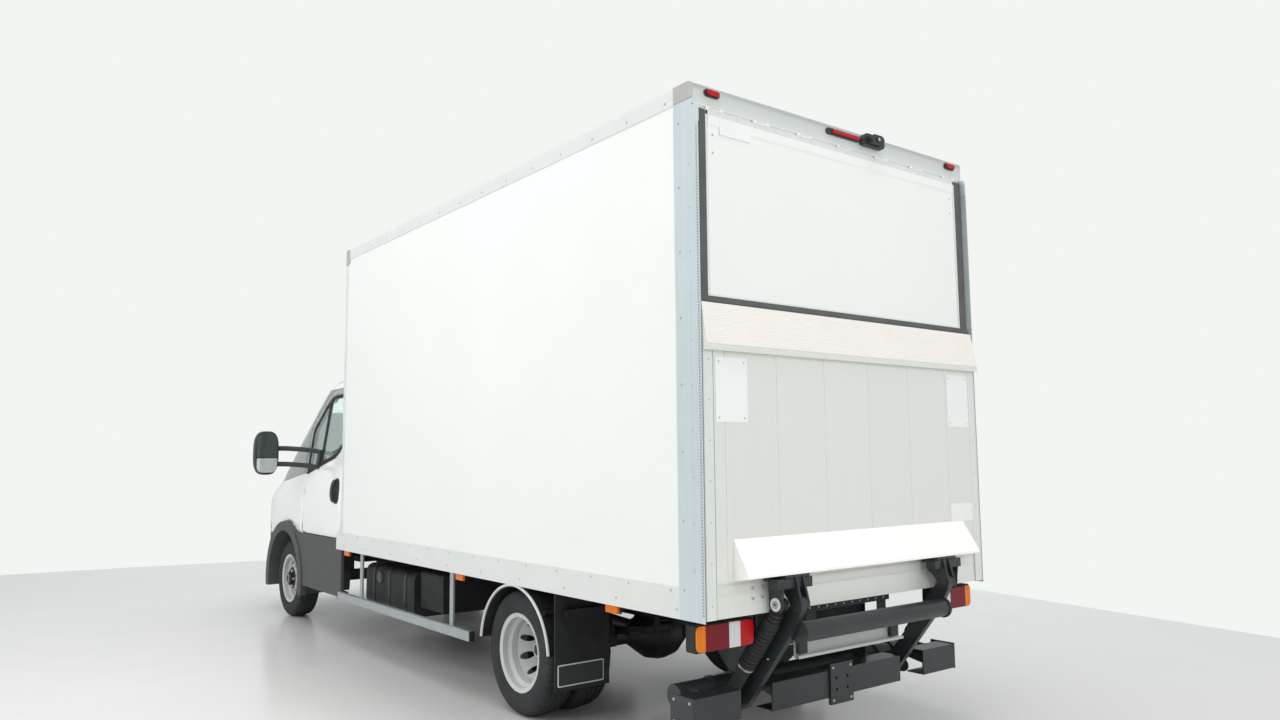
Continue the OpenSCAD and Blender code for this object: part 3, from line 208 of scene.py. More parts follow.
mixed = addNode(tree, "ShaderNodeMixRGB", {"Color2": linearColour(pillarShade["hex"])},
                {"Fac": (pillarShadeMask, "Value"), "Color1": (white, "Color")})
tree.links.new(mixed.outputs["Color"], shader.inputs["Base Color"])
# Root wedge: powder-coated aluminium, cream white and half matt, so that it looks evenly lit
wedgePaint = paint("wedgePaintCream", "#FFFFFB", "#FBFAF4", 0.34, 0.2)
# Frame and axles: dull black chassis paint that swallows the light under the box
chassisPaint = paint("chassisPaintBlack", "#1C1F21", "#282A2B", 0.5, 0.1)
# Lift steelwork: black powder coat, greyer where dust lies
liftPaint = paint("liftPaintBlack", "#1E2224", "#33383A", 0.42, 0.2)
# Wheel discs: silver wheel paint, bright beside the tyres
wheelPaint = paint("wheelPaintSilver", "#C6C8C6", "#B4B6B4", 0.32, 0.4)
# Rails: bare extruded aluminium, pale, with fine lines along the truck
railMetal = brushedMetal("railExtrudedAluminium", "#E9EBE8", "#E2E4E1", (300, 3, 300), 0.40, 0.30)
# Side guards: anodised aluminium, darker and more metallic than the rails
guardMetal = brushedMetal("guardAnodisedAluminium", "#B9C0C1", "#A6AEB0", (200, 3, 200), 0.40, 0.6)
# Rear posts: galvanised steel, a cool blue-grey with upright lines
postMetal = brushedMetal("postGalvanisedSteel", "#D7E1E4", "#CDD8DB", (90, 90, 3), 0.36, 0.4)
# Header: rolled aluminium with lines across
headerMetal = brushedMetal("headerAluminiumShadeAndHighlights", "#D3D8D4", "#C8CDC9", (3, 300, 300), 0.40, 0.3)
# The header's rounded upper part is painted darker, as painted shade, and its lower lip and top edge
# brighter, as painted highlights: tone by height in metres
tree, shader, coords = nodesOf(headerMetal)
height = addNode(tree, "ShaderNodeSeparateXYZ", None, {"Vector": (coords, "Object")})
height = addNode(tree, "ShaderNodeMapRange", {"From Min": 3.063, "From Max": 3.177}, {"Value": (height, "Z")})
tint(tree, shader, (height, "Result"),
     [(0.0, "#F2F5F2"), (0.07, "#DCE1DD"), (0.60, "#CFD4D0"), (0.80, "#A9AFAC"), (0.93, "#B4BAB7"),
      (1.0, "#E6E9E7")])
# Platform's lip: pressed aluminium, warm and bright
lipMetal = brushedMetal("lipPressedAluminium", "#F6F2EA", "#F1EDE5", (2, 500, 500), 0.40, 0.15)
# Cladding: dark grey polypropylene with a grain that keeps it matt
plasticDark = grainedPlastic("claddingGrainedPlastic", "#525554", "#474A49")
# Tank, mudguards and feet: black polyethylene, duller still
plasticBlack = grainedPlastic("tankBlackPlastic", "#1D1F20", "#2A2C2D", 0.65)
# Mirrors and lamp housings: black ABS, smoother, with a soft shine
mirrorPlastic = grainedPlastic("mirrorBlackPlastic", "#313838", "#272D2D", 0.42)
# Inside of the cab: charcoal trim plastic, nearly without shine
cabTrim = grainedPlastic("cabTrimPlastic", "#2A2C2E", "#323436", 0.7, 600)
# Lamps: clear-coated acrylic, each dyed through, with painted highlights along its inner ribs
lensAmber = lens("lensAmberAcrylic", "#D96A08", "#F08A18")
lensRed = lens("lensRedAcrylic", "#5E060E", "#86101A")
lensBright = lens("lensBrightRedAcrylic", "#A2040A", "#C81A1E")
lensWhite = lens("lensWhiteAcrylic", "#C9C8C6", "#E2E2E2")

# Deck extrusion: planks 334 mm wide that differ a little in tone, each with anti-slip ribs 14 mm apart
deckValues = {"plank": 0.334, "firstJoint": -0.757, "ribPitch": 0.014}
deckMetal, tree, shader, coords = newMaterial("deckExtrudedAluminium", "#E8E9E3", 0.30, 0.42)
split = addNode(tree, "ShaderNodeSeparateXYZ", None, {"Vector": (coords, "Object")})
plank = addNode(tree, "ShaderNodeMath",
                {"operation": "MULTIPLY_ADD", 1: 1 / deckValues["plank"],
                 2: -deckValues["firstJoint"] / deckValues["plank"]}, {0: (split, "X")})
plank = addNode(tree, "ShaderNodeMath", {"operation": "FLOOR"}, {0: (plank, "Value")})
tone = addNode(tree, "ShaderNodeTexWhiteNoise", {"noise_dimensions": "1D"}, {"W": (plank, "Value")})
streak = noise(tree, (stretch(tree, coords, (260, 260, 2)), "Vector"), 1.0, 3)
blendTone = addNode(tree, "ShaderNodeMix", {"data_type": "FLOAT", "Factor": 0.85},
                    {"A": (tone, "Value"), "B": (streak, "Fac")})
tint(tree, shader, (blendTone, "Result"), [(0.2, "#E5E7E0"), (0.8, "#EBEDE6")])
vary(tree, shader, (streak, "Fac"), 0.36, 0.52)
deckRibs = addNode(tree, "ShaderNodeTexWave",
                   {"Scale": 2 / deckValues["ribPitch"] / 6.2832, "bands_direction": "X",
                    "wave_profile": "SIN", "Distortion": 0.0}, {"Vector": (coords, "Object")})
bump(tree, shader, (deckRibs, "Fac"), 0.22, 0.0010)

# Tyre rubber: dull carbon black, greyer where it is dusty, so that the tread shows
rubber, tree, shader, coords = newMaterial("tyreRubber", "#2B2D2F", 0.0, 0.78)
dust = noise(tree, (coords, "Object"), 6.0, 6)
tint(tree, shader, (dust, "Fac"), [(0.3, "#232527"), (0.62, "#313335"), (0.8, "#45464A")])
vary(tree, shader, (dust, "Fac"), 0.66, 0.9)
bump(tree, shader, (noise(tree, (coords, "Object"), 700, 2), "Fac"), 0.2, 0.0006)

# Cast iron: sand-cast skin with 3 mm pits and oily dust, dark with a broken shine
castIron, tree, shader, coords = newMaterial("castIron", "#3A3C3E", 0.3, 0.62)
pits = noise(tree, (coords, "Object"), 320, 4)
tint(tree, shader, (noise(tree, (coords, "Object"), 14, 5), "Fac"), [(0.3, "#2A2B2D"), (0.75, "#4A4A4A")])
bump(tree, shader, (pits, "Fac"), 0.5, 0.0015)

# Zinc-plated steel for pins, nuts and rivets: bright points on dark and white
zinc, tree, shader, coords = newMaterial("zincPlatedSteel", "#C9C9C4", 0.9, 0.3)
vary(tree, shader, (noise(tree, (coords, "Object"), 60, 3), "Fac"), 0.22, 0.42)

# Laminated glass, slightly green, clear enough to show the seats
clearGlass, tree, shader, coords = newMaterial("tintedGlass", "#C8D6D3", 0.0, 0.02, **{
    "Transmission Weight": 0.9, "IOR": 1.45, "Specular IOR Level": 0.6})

# Silvered mirror glass: returns the backdrop, slightly wavy
mirrorGlass, tree, shader, coords = newMaterial("silveredMirrorGlass", "#D5DBDA", 1.0, 0.04)
vary(tree, shader, (noise(tree, (coords, "Object"), 14, 4), "Fac"), 0.03, 0.06)
# The same glass with a heated dark backing, for the mirrors' main panes
tintedMirror, tree, shader, coords = newMaterial("tintedMirrorGlass", "#56605E", 1.0, 0.06)
vary(tree, shader, (noise(tree, (coords, "Object"), 14, 4), "Fac"), 0.04, 0.09)

# Coated birch plywood: brown film with a wire-mesh print 3 mm apart
plywood, tree, shader, coords = newMaterial("coatedPlywood", "#5A3B25", 0.0, 0.5)
mesh3 = addNode(tree, "ShaderNodeTexChecker", {"Scale": 330}, {"Vector": (coords, "Object")})
tint(tree, shader, (noise(tree, (coords, "Object"), 4, 5), "Fac"), [(0.3, "#4A2F1D"), (0.7, "#6A482E")])
bump(tree, shader, (mesh3, "Fac"), 0.2, 0.0008)

# Woven seat cloth: threads 2 mm apart, soft and without shine
seatCloth, tree, shader, coords = newMaterial("wovenSeatCloth", "#3A3D40", 0.0, 0.9, **{"Sheen Weight": 0.3})
warp = addNode(tree, "ShaderNodeTexWave", {"Scale": 160, "bands_direction": "X"},
               {"Vector": (coords, "Object")})
weft = addNode(tree, "ShaderNodeTexWave", {"Scale": 160, "bands_direction": "Z"},
               {"Vector": (coords, "Object")})
weave = addNode(tree, "ShaderNodeMath", {"operation": "MULTIPLY"}, {0: (warp, "Fac"), 1: (weft, "Fac")})
tint(tree, shader, (weave, "Value"), [(0.1, "#2C2F31"), (0.9, "#4A4D50")])
bump(tree, shader, (weave, "Value"), 0.5, 0.0015)

print("materials made")

nodeMaterials = {chassisPaint: ["chassis_rails", "crossmembers", "rear_axle", "propeller_shaft",
                                "rear_springs", "front_suspension"],
                 castIron: ["engine", "knuckle_left", "knuckle_right"],
                 rubber: ["tyre_front_left", "tyre_front_right", "tyres_rear_left", "tyres_rear_right",
                          "tilt_barrels"], wheelPaint: ["rim_front_left", "rim_front_right",
                                                        "rims_rear_left", "rims_rear_right"],
                 plasticBlack: ["fuel_tank", "mudguards", "grille"],
                 cabPaint: ["cab_body", "door_left", "door_right", "bonnet", "roof_deflector"],
                 clearGlass: ["glass_left", "glass_right", "windscreen"],
                 plasticDark: ["front_bumper", "cladding"], lensWhite: ["headlamps"],
                 mirrorPlastic: ["mirror_left", "mirror_right"], seatCloth: ["seats"],
                 cabTrim: ["dashboard"], plywood: ["box_floor"],
                 gelcoat: ["side_panels", "box_front", "box_roof", "flap_door"], railMetal: ["box_rails"],
                 guardMetal: ["side_guards"], postMetal: ["rear_posts", "rear_sill"],
                 lensAmber: ["marker_lamps"], lensRed: ["tail_lamps"],
                 liftPaint: ["lift_frame", "lift_arms", "platform_brackets", "tilt_rods"],
                 zinc: ["box_bearers"], headerMetal: ["rear_header"], deckMetal: ["platform"],
                 wedgePaint: ["platform_wedge"],}
for material, names in nodeMaterials.items():
    for name in names:
        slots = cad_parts[name].material_slots
        for slot in slots:
            slot.material = material


# Camera, as fitted to the photograph's straight edges
def placed(thing, right, up, back, spot):
    # Puts an object at spot with its x, y and z axes along right, up and back
    matrix = np.eye(4)
    matrix[:3] = np.column_stack([right, up, back, spot])
    thing.matrix_world = Matrix(matrix.tolist())
    bpy.context.scene.collection.objects.link(thing)


cameraValues = {"place": (3.7645, 6.5239, 1.4479), "yaw": -0.045, "pitch": 0.104, "roll": -0.009,
                "focal": 931.63}
heading = math.radians(235) + cameraValues["yaw"]
pitch, roll = cameraValues["pitch"], cameraValues["roll"]
forward = np.array([math.cos(heading) * math.cos(pitch), math.sin(heading) * math.cos(pitch),
                    math.sin(pitch)])
right = np.cross(forward, [0, 0, 1])
right /= np.linalg.norm(right)
upward = np.cross(right, forward)
tiltRight = math.cos(roll) * right + math.sin(roll) * upward
tiltUp = math.cos(roll) * upward - math.sin(roll) * right
lensData = bpy.data.cameras.new("photoCamera")
lensData.sensor_width = 36
lensData.lens = 36 * cameraValues["focal"] / 1280
lensData.clip_end = 200
camera = bpy.data.objects.new("photoCamera", lensData)
placed(camera, tiltRight, tiltUp, -forward, cameraValues["place"])
bpy.context.scene.camera = camera

# Floor, backdrop and light
stageValues = {"floorHex": "#CFCFCD", "floorRough": 0.22, "lightHex": "#F4F6F8", "lightStrength": 0.72,
               "wallHex": "#F3F5F2"}


def linkedObject(name, points, faces, material=None, smooth=False):
    # Points and faces straight into a mesh whose object stays at the origin
    mesh = bpy.data.meshes.new(name)
    mesh.from_pydata(np.asarray(points, float).reshape(-1, 3).tolist(), [],
                     [list(map(int, f)) for f in faces])
    mesh.update()
    thing = bpy.data.objects.new(name, mesh)
    bpy.context.scene.collection.objects.link(thing)
    if material:
        mesh.materials.append(material)
    if smooth:
        mesh.shade_smooth()
    return thing


floorSheen, tree, shader, coords = newMaterial("polishedConcreteFloor", stageValues["floorHex"], 0.0,
                                               stageValues["floorRough"], **{"Specular IOR Level": 0.6})
vary(tree, shader, (noise(tree, (coords, "Object"), 1.2, 5), "Fac"), 0.16, 0.30)
edge = [(14.0, -9.68), (2.865, -8.310), (1.334, -8.122), (-0.367, -7.764), (-2.6, -6.9), (-4.4, -5.2),
        (-5.3, -2.6), (-5.314, 0.657), (-4.974, 2.385), (-4.726, 3.643), (-3.2, 11.4), (-2.0, 30.0),
        (40.0, 30.0), (40.0, -14.0)]
floor = linkedObject("studioFloor", [(x, y, 0) for x, y in edge], [list(range(len(edge)))], floorSheen)

world = bpy.data.worlds.new("studioWorld")
bpy.context.scene.world = world
world.use_nodes = True
tree = world.node_tree
tree.nodes.clear()
softLight = addNode(tree, "ShaderNodeBackground",
                    {"Color": linearColour(stageValues["lightHex"]),
                     "Strength": stageValues["lightStrength"]})
seenWall = addNode(tree, "ShaderNodeBackground",
                   {"Color": linearColour(stageValues["wallHex"]), "Strength": 1.0})
rays = addNode(tree, "ShaderNodeLightPath")
either = addNode(tree, "ShaderNodeMath", {"operation": "MAXIMUM"},
                 {0: (rays, "Is Camera Ray"), 1: (rays, "Is Transmission Ray")})
choose = addNode(tree, "ShaderNodeMixShader", None,
                 {"Fac": (either, "Value"), 1: (softLight, "Background"), 2: (seenWall, "Background")})
addNode(tree, "ShaderNodeOutputWorld", None, {"Surface": (choose, "Shader")})

lamps = [  # name, place, aim, width, height, watts
    ("overheadLamp", (1.0, 1.0, 7.5), (0.0, 0.6, 0.0), 9.0, 7.0, 420),
    ("leftSideLamp", (8.0, 1.0, 4.5), (0.5, 0.0, 1.4), 7.0, 4.0, 230),
    ("rearLamp", (0.5, 10.5, 4.2), (0.0, 3.0, 1.4), 6.0, 4.0, 210),
    ("rightSideLamp", (-8.0, -1.0, 4.0), (0.0, 0.0, 1.2), 7.0, 4.0, 160),
    ("frontLamp", (-1.0, -10.5, 4.2), (0.0, -3.0, 1.2), 6.0, 4.0, 200),
]
for name, spot, aim, width, height, watts in lamps:
    data = bpy.data.lights.new(name, "AREA")
    data.shape = "RECTANGLE"
    data.size, data.size_y, data.energy = width, height, watts
    lamp = bpy.data.objects.new(name, data)
    away = np.array(spot) - np.array(aim)
    away /= np.linalg.norm(away)
    side = np.cross([0, 0, 1], away)
    side /= np.linalg.norm(side)
    placed(lamp, side, np.cross(away, side), away, spot)
    lamp.visible_glossy = False
bpy.context.scene.view_settings.view_transform = "Standard"
print("camera, floor and lights placed")


def gridQuads(m, n, closeRows=False, closeColumns=False):
    # Quads between neighbours (i, j), (i+1, j), (i+1, j+1), (i, j+1) of an m by n grid
    i, j = np.meshgrid(np.arange(m if closeRows else m - 1), np.arange(n if closeColumns else n - 1),
                       indexing="ij")
    nextI, nextJ = (i + 1) % m, (j + 1) % n
    return np.stack([i * n + j, nextI * n + j, nextI * n + nextJ, i * n + nextJ], -1).reshape(-1, 4)


def surface(points, closeRows=False, closeColumns=False):
    # A grid of points and the quads between them
    m, n = points.shape[:2]
    return points.reshape(-1, 3), gridQuads(m, n, closeRows, closeColumns).tolist()


def capped(points):
    # A closed tube of rings: quads between the rings and one polygon over each end ring
    m, n = points.shape[:2]
    faces = gridQuads(m, n, False, True).tolist()
    faces += [list(range(n - 1, -1, -1)), list(range((m - 1) * n, m * n))]
    return points.reshape(-1, 3), faces


def turned(profile, centre, axis=0, steps=64, caps=False):
    # Profile (along, radius) turned about an axis through centre: along*axis + radius*(cos t, sin t)
    t = np.linspace(0, 2 * np.pi, steps, endpoint=False)
    profile = np.asarray(profile, float)
    along = np.repeat(profile[:, :1], steps, 1)
    u, v = profile[:, 1:] * np.cos(t), profile[:, 1:] * np.sin(t)
    order = {0: (along, u, v), 1: (v, along, u), 2: (u, v, along)}[axis]
    points = np.stack(order, -1) + np.asarray(centre, float)
    return capped(points) if caps else surface(points, False, True)


def smoothPath(path, samples):
    # Catmull-Rom curve through the points: a cubic between each two that keeps their slopes
    p = np.asarray(path, float)
    p = np.vstack([2 * p[0] - p[1], p, 2 * p[-1] - p[-2]])
    s = np.linspace(0, len(p) - 3 - 1e-9, samples)
    k = s.astype(int)
    t = (s - k)[:, None]
    a, b, c, d = p[k], p[k + 1], p[k + 2], p[k + 3]
    return 0.5 * (2 * b + (c - a) * t + (2 * a - 5 * b + 4 * c - d) * t ** 2 + (3 * b - a - 3 * c + d)
                  * t ** 3)


def swept(profile, path, up=(0, 0, 1), closeProfile=True, widths=None):
    # Profile (side, up) carried along a path: each ring lies across the path's own direction
    path = np.asarray(path, float)
    ahead = np.gradient(path, axis=0)
    ahead /= np.linalg.norm(ahead, axis=1, keepdims=True)
    side = np.cross(ahead, np.asarray(up, float))
    side /= np.linalg.norm(side, axis=1, keepdims=True)
    top = np.cross(side, ahead)
    profile = np.asarray(profile, float)
    scale = np.ones(len(path)) if widths is None else np.asarray(widths, float)
    points = (path[:, None] + scale[:, None, None] * (profile[None, :, :1] * side[:, None]
              + profile[None, :, 1:] * top[:, None]))
    return capped(points) if closeProfile else surface(points)


def circleProfile(radius, steps=12):
    # radius * (cos t, sin t)
    t = np.linspace(0, 2 * np.pi, steps, endpoint=False)
    return radius * np.stack([np.cos(t), np.sin(t)], -1)


def roundedOutline(points, radius, steps=5):
    # Each corner replaced by an arc between the points one radius before and after it (quadratic curve)
    p = np.asarray(points, float)
    before, after = np.roll(p, 1, 0), np.roll(p, -1, 0)
    toBefore, toAfter = before - p, after - p
    lengthBefore = np.linalg.norm(toBefore, axis=1, keepdims=True)
    lengthAfter = np.linalg.norm(toAfter, axis=1, keepdims=True)
    radii = np.minimum(np.broadcast_to(np.asarray(radius, float).reshape(-1, 1), (len(p), 1)),
                       0.48 * np.minimum(lengthBefore, lengthAfter))
    start, end = p + toBefore / lengthBefore * radii, p + toAfter / lengthAfter * radii
    t = np.linspace(0, 1, steps)[None, :, None]
    arcs = (1 - t) ** 2 * start[:, None] + 2 * t * (1 - t) * p[:, None] + t ** 2 * end[:, None]
    return arcs.reshape(-1, 2)


def boxes(corners):
    # Boxes from (low corner, high corner) pairs as one mesh
    c = np.asarray(corners, float).reshape(-1, 2, 3)
    pick = np.array([[0, 0, 0], [1, 0, 0], [1, 1, 0], [0, 1, 0], [0, 0, 1], [1, 0, 1], [1, 1, 1], [0, 1, 1]])
    points = np.where(pick[None], c[:, 1:2], c[:, :1])
    quads = np.array([[0, 3, 2, 1], [4, 5, 6, 7], [0, 1, 5, 4], [1, 2, 6, 5], [2, 3, 7, 6], [3, 0, 4, 7]])
    return points.reshape(-1, 3), (quads[None] + 8 * np.arange(len(c))[:, None, None]).reshape(-1, 4).tolist()


def plate(outline, low, high, axis=0):
    # A flat outline carried from low to high along an axis; outline is in the other two axes, in their order
    outline = np.asarray(outline, float)
    rest = [a for a in range(3) if a != axis]
    points = np.zeros((2, len(outline), 3))
    points[..., rest] = outline
    points[0, :, axis], points[1, :, axis] = low, high
    return capped(points)


def domes(centres, normal, radius, height, rings=3, steps=10):
    # Rivet heads: radius*cos(a) across and height*sin(a) along the normal, all centres in one array
    normal = np.asarray(normal, float)
    across = np.array([1.0, 0, 0]) if abs(normal[0]) < 0.7 else np.array([0, 1.0, 0])
    across -= across @ normal * normal
    across /= np.linalg.norm(across)
    other = np.cross(normal, across)
    a = np.linspace(0, np.pi / 2, rings + 1)[:-1, None]
    t = np.linspace(0, 2 * np.pi, steps, endpoint=False)[None]
    flatX, flatY, raised = (part[..., None]
                            for part in (np.cos(a) * np.cos(t), np.cos(a) * np.sin(t),
                                         np.sin(a) * np.ones_like(t)))
    ring = radius * (flatX * across + flatY * other) + height * raised * normal
    one = np.vstack([ring.reshape(-1, 3), normal * height])
    centres = np.asarray(centres, float).reshape(-1, 3)
    quads = gridQuads(rings, steps, False, True)
    last = (rings - 1) * steps
    tip = [[last + k, last + (k + 1) % steps, len(one) - 1] for k in range(steps)]
    base = [list(range(steps - 1, -1, -1))]
    faces = [[v + len(one) * c for v in f] for c in range(len(centres)) for f in quads.tolist() + tip + base]
    return (centres[:, None] + one[None]).reshape(-1, 3), faces


def mirrored(part):
    # The part's mirror image, x times -1
    points, faces = part
    return points * [-1, 1, 1], [f[::-1] for f in faces]


def bothSides(parts):
    # The parts and their mirror images, for both sides of the truck
    return parts + [mirrored(part) for part in parts]


def onSide(parts, side):
    # The parts as they are on the left, side 1, or their mirror images on the right, side -1
    return parts if side > 0 else [mirrored(part) for part in parts]


def rectangle(low, high, radius, steps=5):
    # Rounded rectangle between two corners
    return roundedOutline([low, (high[0], low[1]), high, (low[0], high[1])], radius, steps)


def power(value, by):
    # |value|^by with the value's sign
    return np.sign(value) * np.abs(value) ** by


def piece(name, parts, material, body="chassis", slotName=None, replaces=(), smooth=False, bevel=0.0,
          bevelSteps=2, outward=True, angle=35):
    # Joins the parts into one mesh, turns its faces outwards, softens its edges and rides it on its body
    offsets = np.cumsum([0] + [len(points) for points, _ in parts])
    points = np.vstack([np.asarray(points, float).reshape(-1, 3) for points, _ in parts])
    faces = [[v + off for v in face] for (_, group), off in zip(parts, offsets) for face in group]
    thing = linkedObject(name, points, faces, material)
    shape = bmesh.new()
    shape.from_mesh(thing.data)
    bmesh.ops.remove_doubles(shape, verts=shape.verts, dist=1e-5)
    if outward:
        bmesh.ops.recalc_face_normals(shape, faces=shape.faces)
    shape.to_mesh(thing.data)
    shape.free()
    if bevel:
        edge = thing.modifiers.new("bevel", "BEVEL")
        edge.width, edge.segments, edge.harden_normals = bevel, bevelSteps, False
        edge.limit_method, edge.angle_limit = "ANGLE", math.radians(30)
    if smooth:
        thing.data.shade_smooth()
        thing.data.set_sharp_from_angle(angle=math.radians(angle))
    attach(thing, body)
    for node in replaces:
        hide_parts(node)
    return thing


def sheet(thing, thickness, offset=-1):
    # Gives an open surface its thickness: towards the inside, or to both sides with an offset of 0
    wall = thing.modifiers.new("sheet", "SOLIDIFY")
    wall.thickness, wall.offset = thickness, offset
    return thing


# Blind rivets along the box's rails and posts, one side's rows; columns are measured from the rear face
rivets = {"radius": 0.0065, "height": 0.0028, "lowerZ": (0.771, 0.851), "lowerStep": 0.318, "topZ": 3.118,
          "topStep": 0.305, "postStep": 0.3045, "postColumns": (-0.136, -0.064)}
lowRow = [(faceX, y, rivets["lowerZ"][0])
          for y in np.arange(rearY - 0.19, frontY + 0.05, -rivets["lowerStep"] * 1.45)]
highRow = [(faceX, y, rivets["lowerZ"][1])
           for y in np.arange(rearY - 0.231, frontY + 0.05, -rivets["lowerStep"])]
topRow = [(faceX, y, rivets["topZ"]) for y in np.arange(rearY - 0.231, frontY + 0.05, -rivets["topStep"])]
postRow = [(faceX, rearY + rivets["postColumns"][0], z) for z in np.arange(0.86, 3.05, rivets["postStep"])]
edgeRow = [(faceX, rearY + rivets["postColumns"][1], z) for z in np.arange(0.95, 2.95, 0.2035)]
cornerRow = [(faceX, frontY + 0.024, z) for z in np.arange(0.95, 3.05, 0.25)]
allRivets = [domes(lowRow + highRow + topRow + postRow + cornerRow, (1, 0, 0), rivets["radius"],
                   rivets["height"]), domes(edgeRow, (1, 0, 0), 0.0045, 0.002)]
piece("railRivets", bothSides(allRivets), zinc, smooth=True, slotName="rail_alu")

# Serrated strip near the rear edge of each post: short teeth 14 mm apart, darker than the post as painted
# shade, so that they show as dark dashes
serration = {"pitch": 0.014, "low": 0.76, "high": 2.95}
teeth = np.arange(serration["low"], serration["high"], serration["pitch"])
strip = [boxes([((faceX - 0.001, rearY - 0.015, z),
                 (faceX + 0.0015, rearY - 0.006, z + serration["pitch"] / 2)) for z in teeth])]
piece("postSerrations", bothSides(strip), guardMetal, slotName="frame_steel")

# Tops of the posts: side plates that close the gap between the post and the header's end cap
postTop = [(rearY - 0.168, 3.056), (rearY - 0.030, 3.056), (rearY - 0.030, 3.0945), (rearY - 0.168, 3.0945)]
postHorn = [(rearY - 0.037, 2.968), (rearY - 0.0005, 2.968), (rearY - 0.0005, 3.040),
            (rearY - 0.010, 3.0615), (rearY - 0.037, 3.0615)]
piece("postTops", bothSides([plate(postTop, 1.0470, 1.0504), plate(postHorn, 1.0410, 1.0504)]), postMetal,
      slotName="frame_steel")

# Grey plastic caps over the header's ends, and corner caps on the upper rails at the front
capOutline = roundedOutline([(rearY - 0.168, 3.092), (rearY - 0.032, 3.092), (rearY - 0.032, 3.160),
                             (rearY - 0.052, 3.175), (rearY - 0.168, 3.175)],
                            [0.006, 0.01, 0.03, 0.02, 0.006])
# End caps: warm grey plastic
capShade = grainedPlastic("capGreyPlastic", "#B4B5AE", "#A9AAA3", 0.5)
frontCap = roundedOutline([(frontY - 0.002, 3.04), (frontY + 0.07, 3.06), (frontY + 0.07, 3.175),
                           (frontY - 0.002, 3.175)], 0.012)
piece("headerEndCaps", bothSides([plate(capOutline, 1.0495, 1.0535), plate(frontCap, 1.0495, 1.0530)]),
      capShade, bevel=0.0015, slotName="rail_alu")

# Header lamps: long lens in a black housing, its outline a stadium
headerY = rearY - 0.032
headerLamps = {"markerX": 0.934, "markerZ": 3.129, "brakeZ": 3.125}


def stadium(x, z, width, height, steps=8):
    # Outline of a slot: two half circles joined by straight sides
    r = height / 2
    t = np.linspace(-np.pi / 2, np.pi / 2, steps)
    rightEnd = np.stack([x + width / 2 - r + r * np.cos(t), z + r * np.sin(t)], -1)
    return np.vstack([rightEnd, 2 * np.array([x, z]) - rightEnd])


housings = [plate(stadium(headerLamps["markerX"], headerLamps["markerZ"], 0.096, 0.036), headerY - 0.001,
                  headerY + 0.010, axis=1)]
lenses = [plate(stadium(headerLamps["markerX"], headerLamps["markerZ"], 0.078, 0.026), headerY + 0.009,
                headerY + 0.022, axis=1)]
piece("markerHousings", bothSides(housings), mirrorPlastic, bevel=0.002, slotName="dark_plastic")
piece("markerLenses", bothSides(lenses), lensBright, bevel=0.005, bevelSteps=3, slotName="lens_amber")
piece("brakeLampHousing", [plate(stadium(0.010, headerLamps["brakeZ"], 0.262, 0.034), headerY - 0.001,
                                 headerY + 0.012, axis=1)], mirrorPlastic, bevel=0.003)
piece("brakeLampLens", [plate(stadium(-0.004, headerLamps["brakeZ"], 0.216, 0.020), headerY + 0.011,
                              headerY + 0.022, axis=1)], lensBright, bevel=0.004, bevelSteps=3,
      slotName="lens_red")

# Reversing camera: a body with a deeper hood on it, and a lens under the hood
hood = roundedOutline([(-0.128, 3.100), (-0.300, 3.100), (-0.312, 3.132), (-0.270, 3.166), (-0.155, 3.166),
                       (-0.118, 3.136)], 0.014)
cameraParts = [plate(hood, headerY - 0.001, headerY + 0.030, axis=1),
               plate(roundedOutline([(-0.165, 3.108), (-0.262, 3.108), (-0.268, 3.140), (-0.250, 3.156),
                                     (-0.180, 3.156), (-0.160, 3.140)], 0.01), headerY + 0.028,
                     headerY + 0.062, axis=1),
               turned([(headerY + 0.05, 0.016), (headerY + 0.068, 0.016), (headerY + 0.070, 0.012),
                       (headerY + 0.066, 0.010)], (-0.214, 0, 3.130), axis=1, steps=20, caps=True)]
piece("reversingCamera", cameraParts, mirrorPlastic, bevel=0.003, slotName="dark_plastic")
piece("cameraGlass", [turned([(headerY + 0.060, 0.0001), (headerY + 0.0675, 0.0095),
                              (headerY + 0.0665, 0.0099)], (-0.214, 0, 3.130), axis=1, steps=20, caps=True)],
      mirrorGlass, smooth=True)

# Flap: rubber seals at its sides, aluminium edge frame, dark bottom profile with a bright bead, screws
flapFace = rearY - 0.033
edge = {"half": 1.038, "sealIn": 0.9755, "frameIn": 0.9615, "bottom": 2.140, "top": 3.050}
sealParts = [swept(np.array([(0.045, -0.003), (-0.014, -0.003), (-0.014, 0.004), (0.010, 0.007),
                             (0.034, 0.006), (0.045, 0.002)]),
                   np.stack([np.full(24, 1.021), np.full(24, flapFace + 0.002),
                             np.linspace(edge["bottom"], edge["top"] - 0.004, 24)], -1), up=(0, 1, 0))]
# Flap's seals: soft rubber bleached to a mid grey
softRubber = grainedPlastic("sealRubber", "#5F615F", "#525452", 0.75, 500)
piece("flapSeals", bothSides(sealParts), softRubber, "flap", slotName="lift_black")
frameBars = [boxes([((edge["frameIn"], flapFace - 0.0005, edge["bottom"] + 0.036),
                     (edge["sealIn"], flapFace + 0.004, edge["top"] - 0.004))])]
piece("flapEdgeFrame", bothSides(frameBars)
      + [boxes([((-edge["sealIn"], flapFace - 0.0005, edge["bottom"] + 0.034),
                 (edge["sealIn"], flapFace + 0.006, edge["bottom"] + 0.042))])], railMetal, "flap",
      bevel=0.001, slotName="rail_alu")
bottomProfile = np.array([(flapFace - 0.0005, edge["bottom"] + 0.034),
                          (flapFace + 0.010, edge["bottom"] + 0.030),
                          (flapFace + 0.016, edge["bottom"] + 0.012),
                          (flapFace + 0.016, edge["bottom"] + 0.002),
                          (flapFace - 0.0005, edge["bottom"] + 0.002)])
piece("flapBottomProfile", [plate(bottomProfile, -edge["half"], edge["half"])], softRubber, "flap",
      bevel=0.001, slotName="lift_black")
screws = [(x, flapFace, z) for x in (-0.93, 0.93) for z in (2.850, 2.935)]
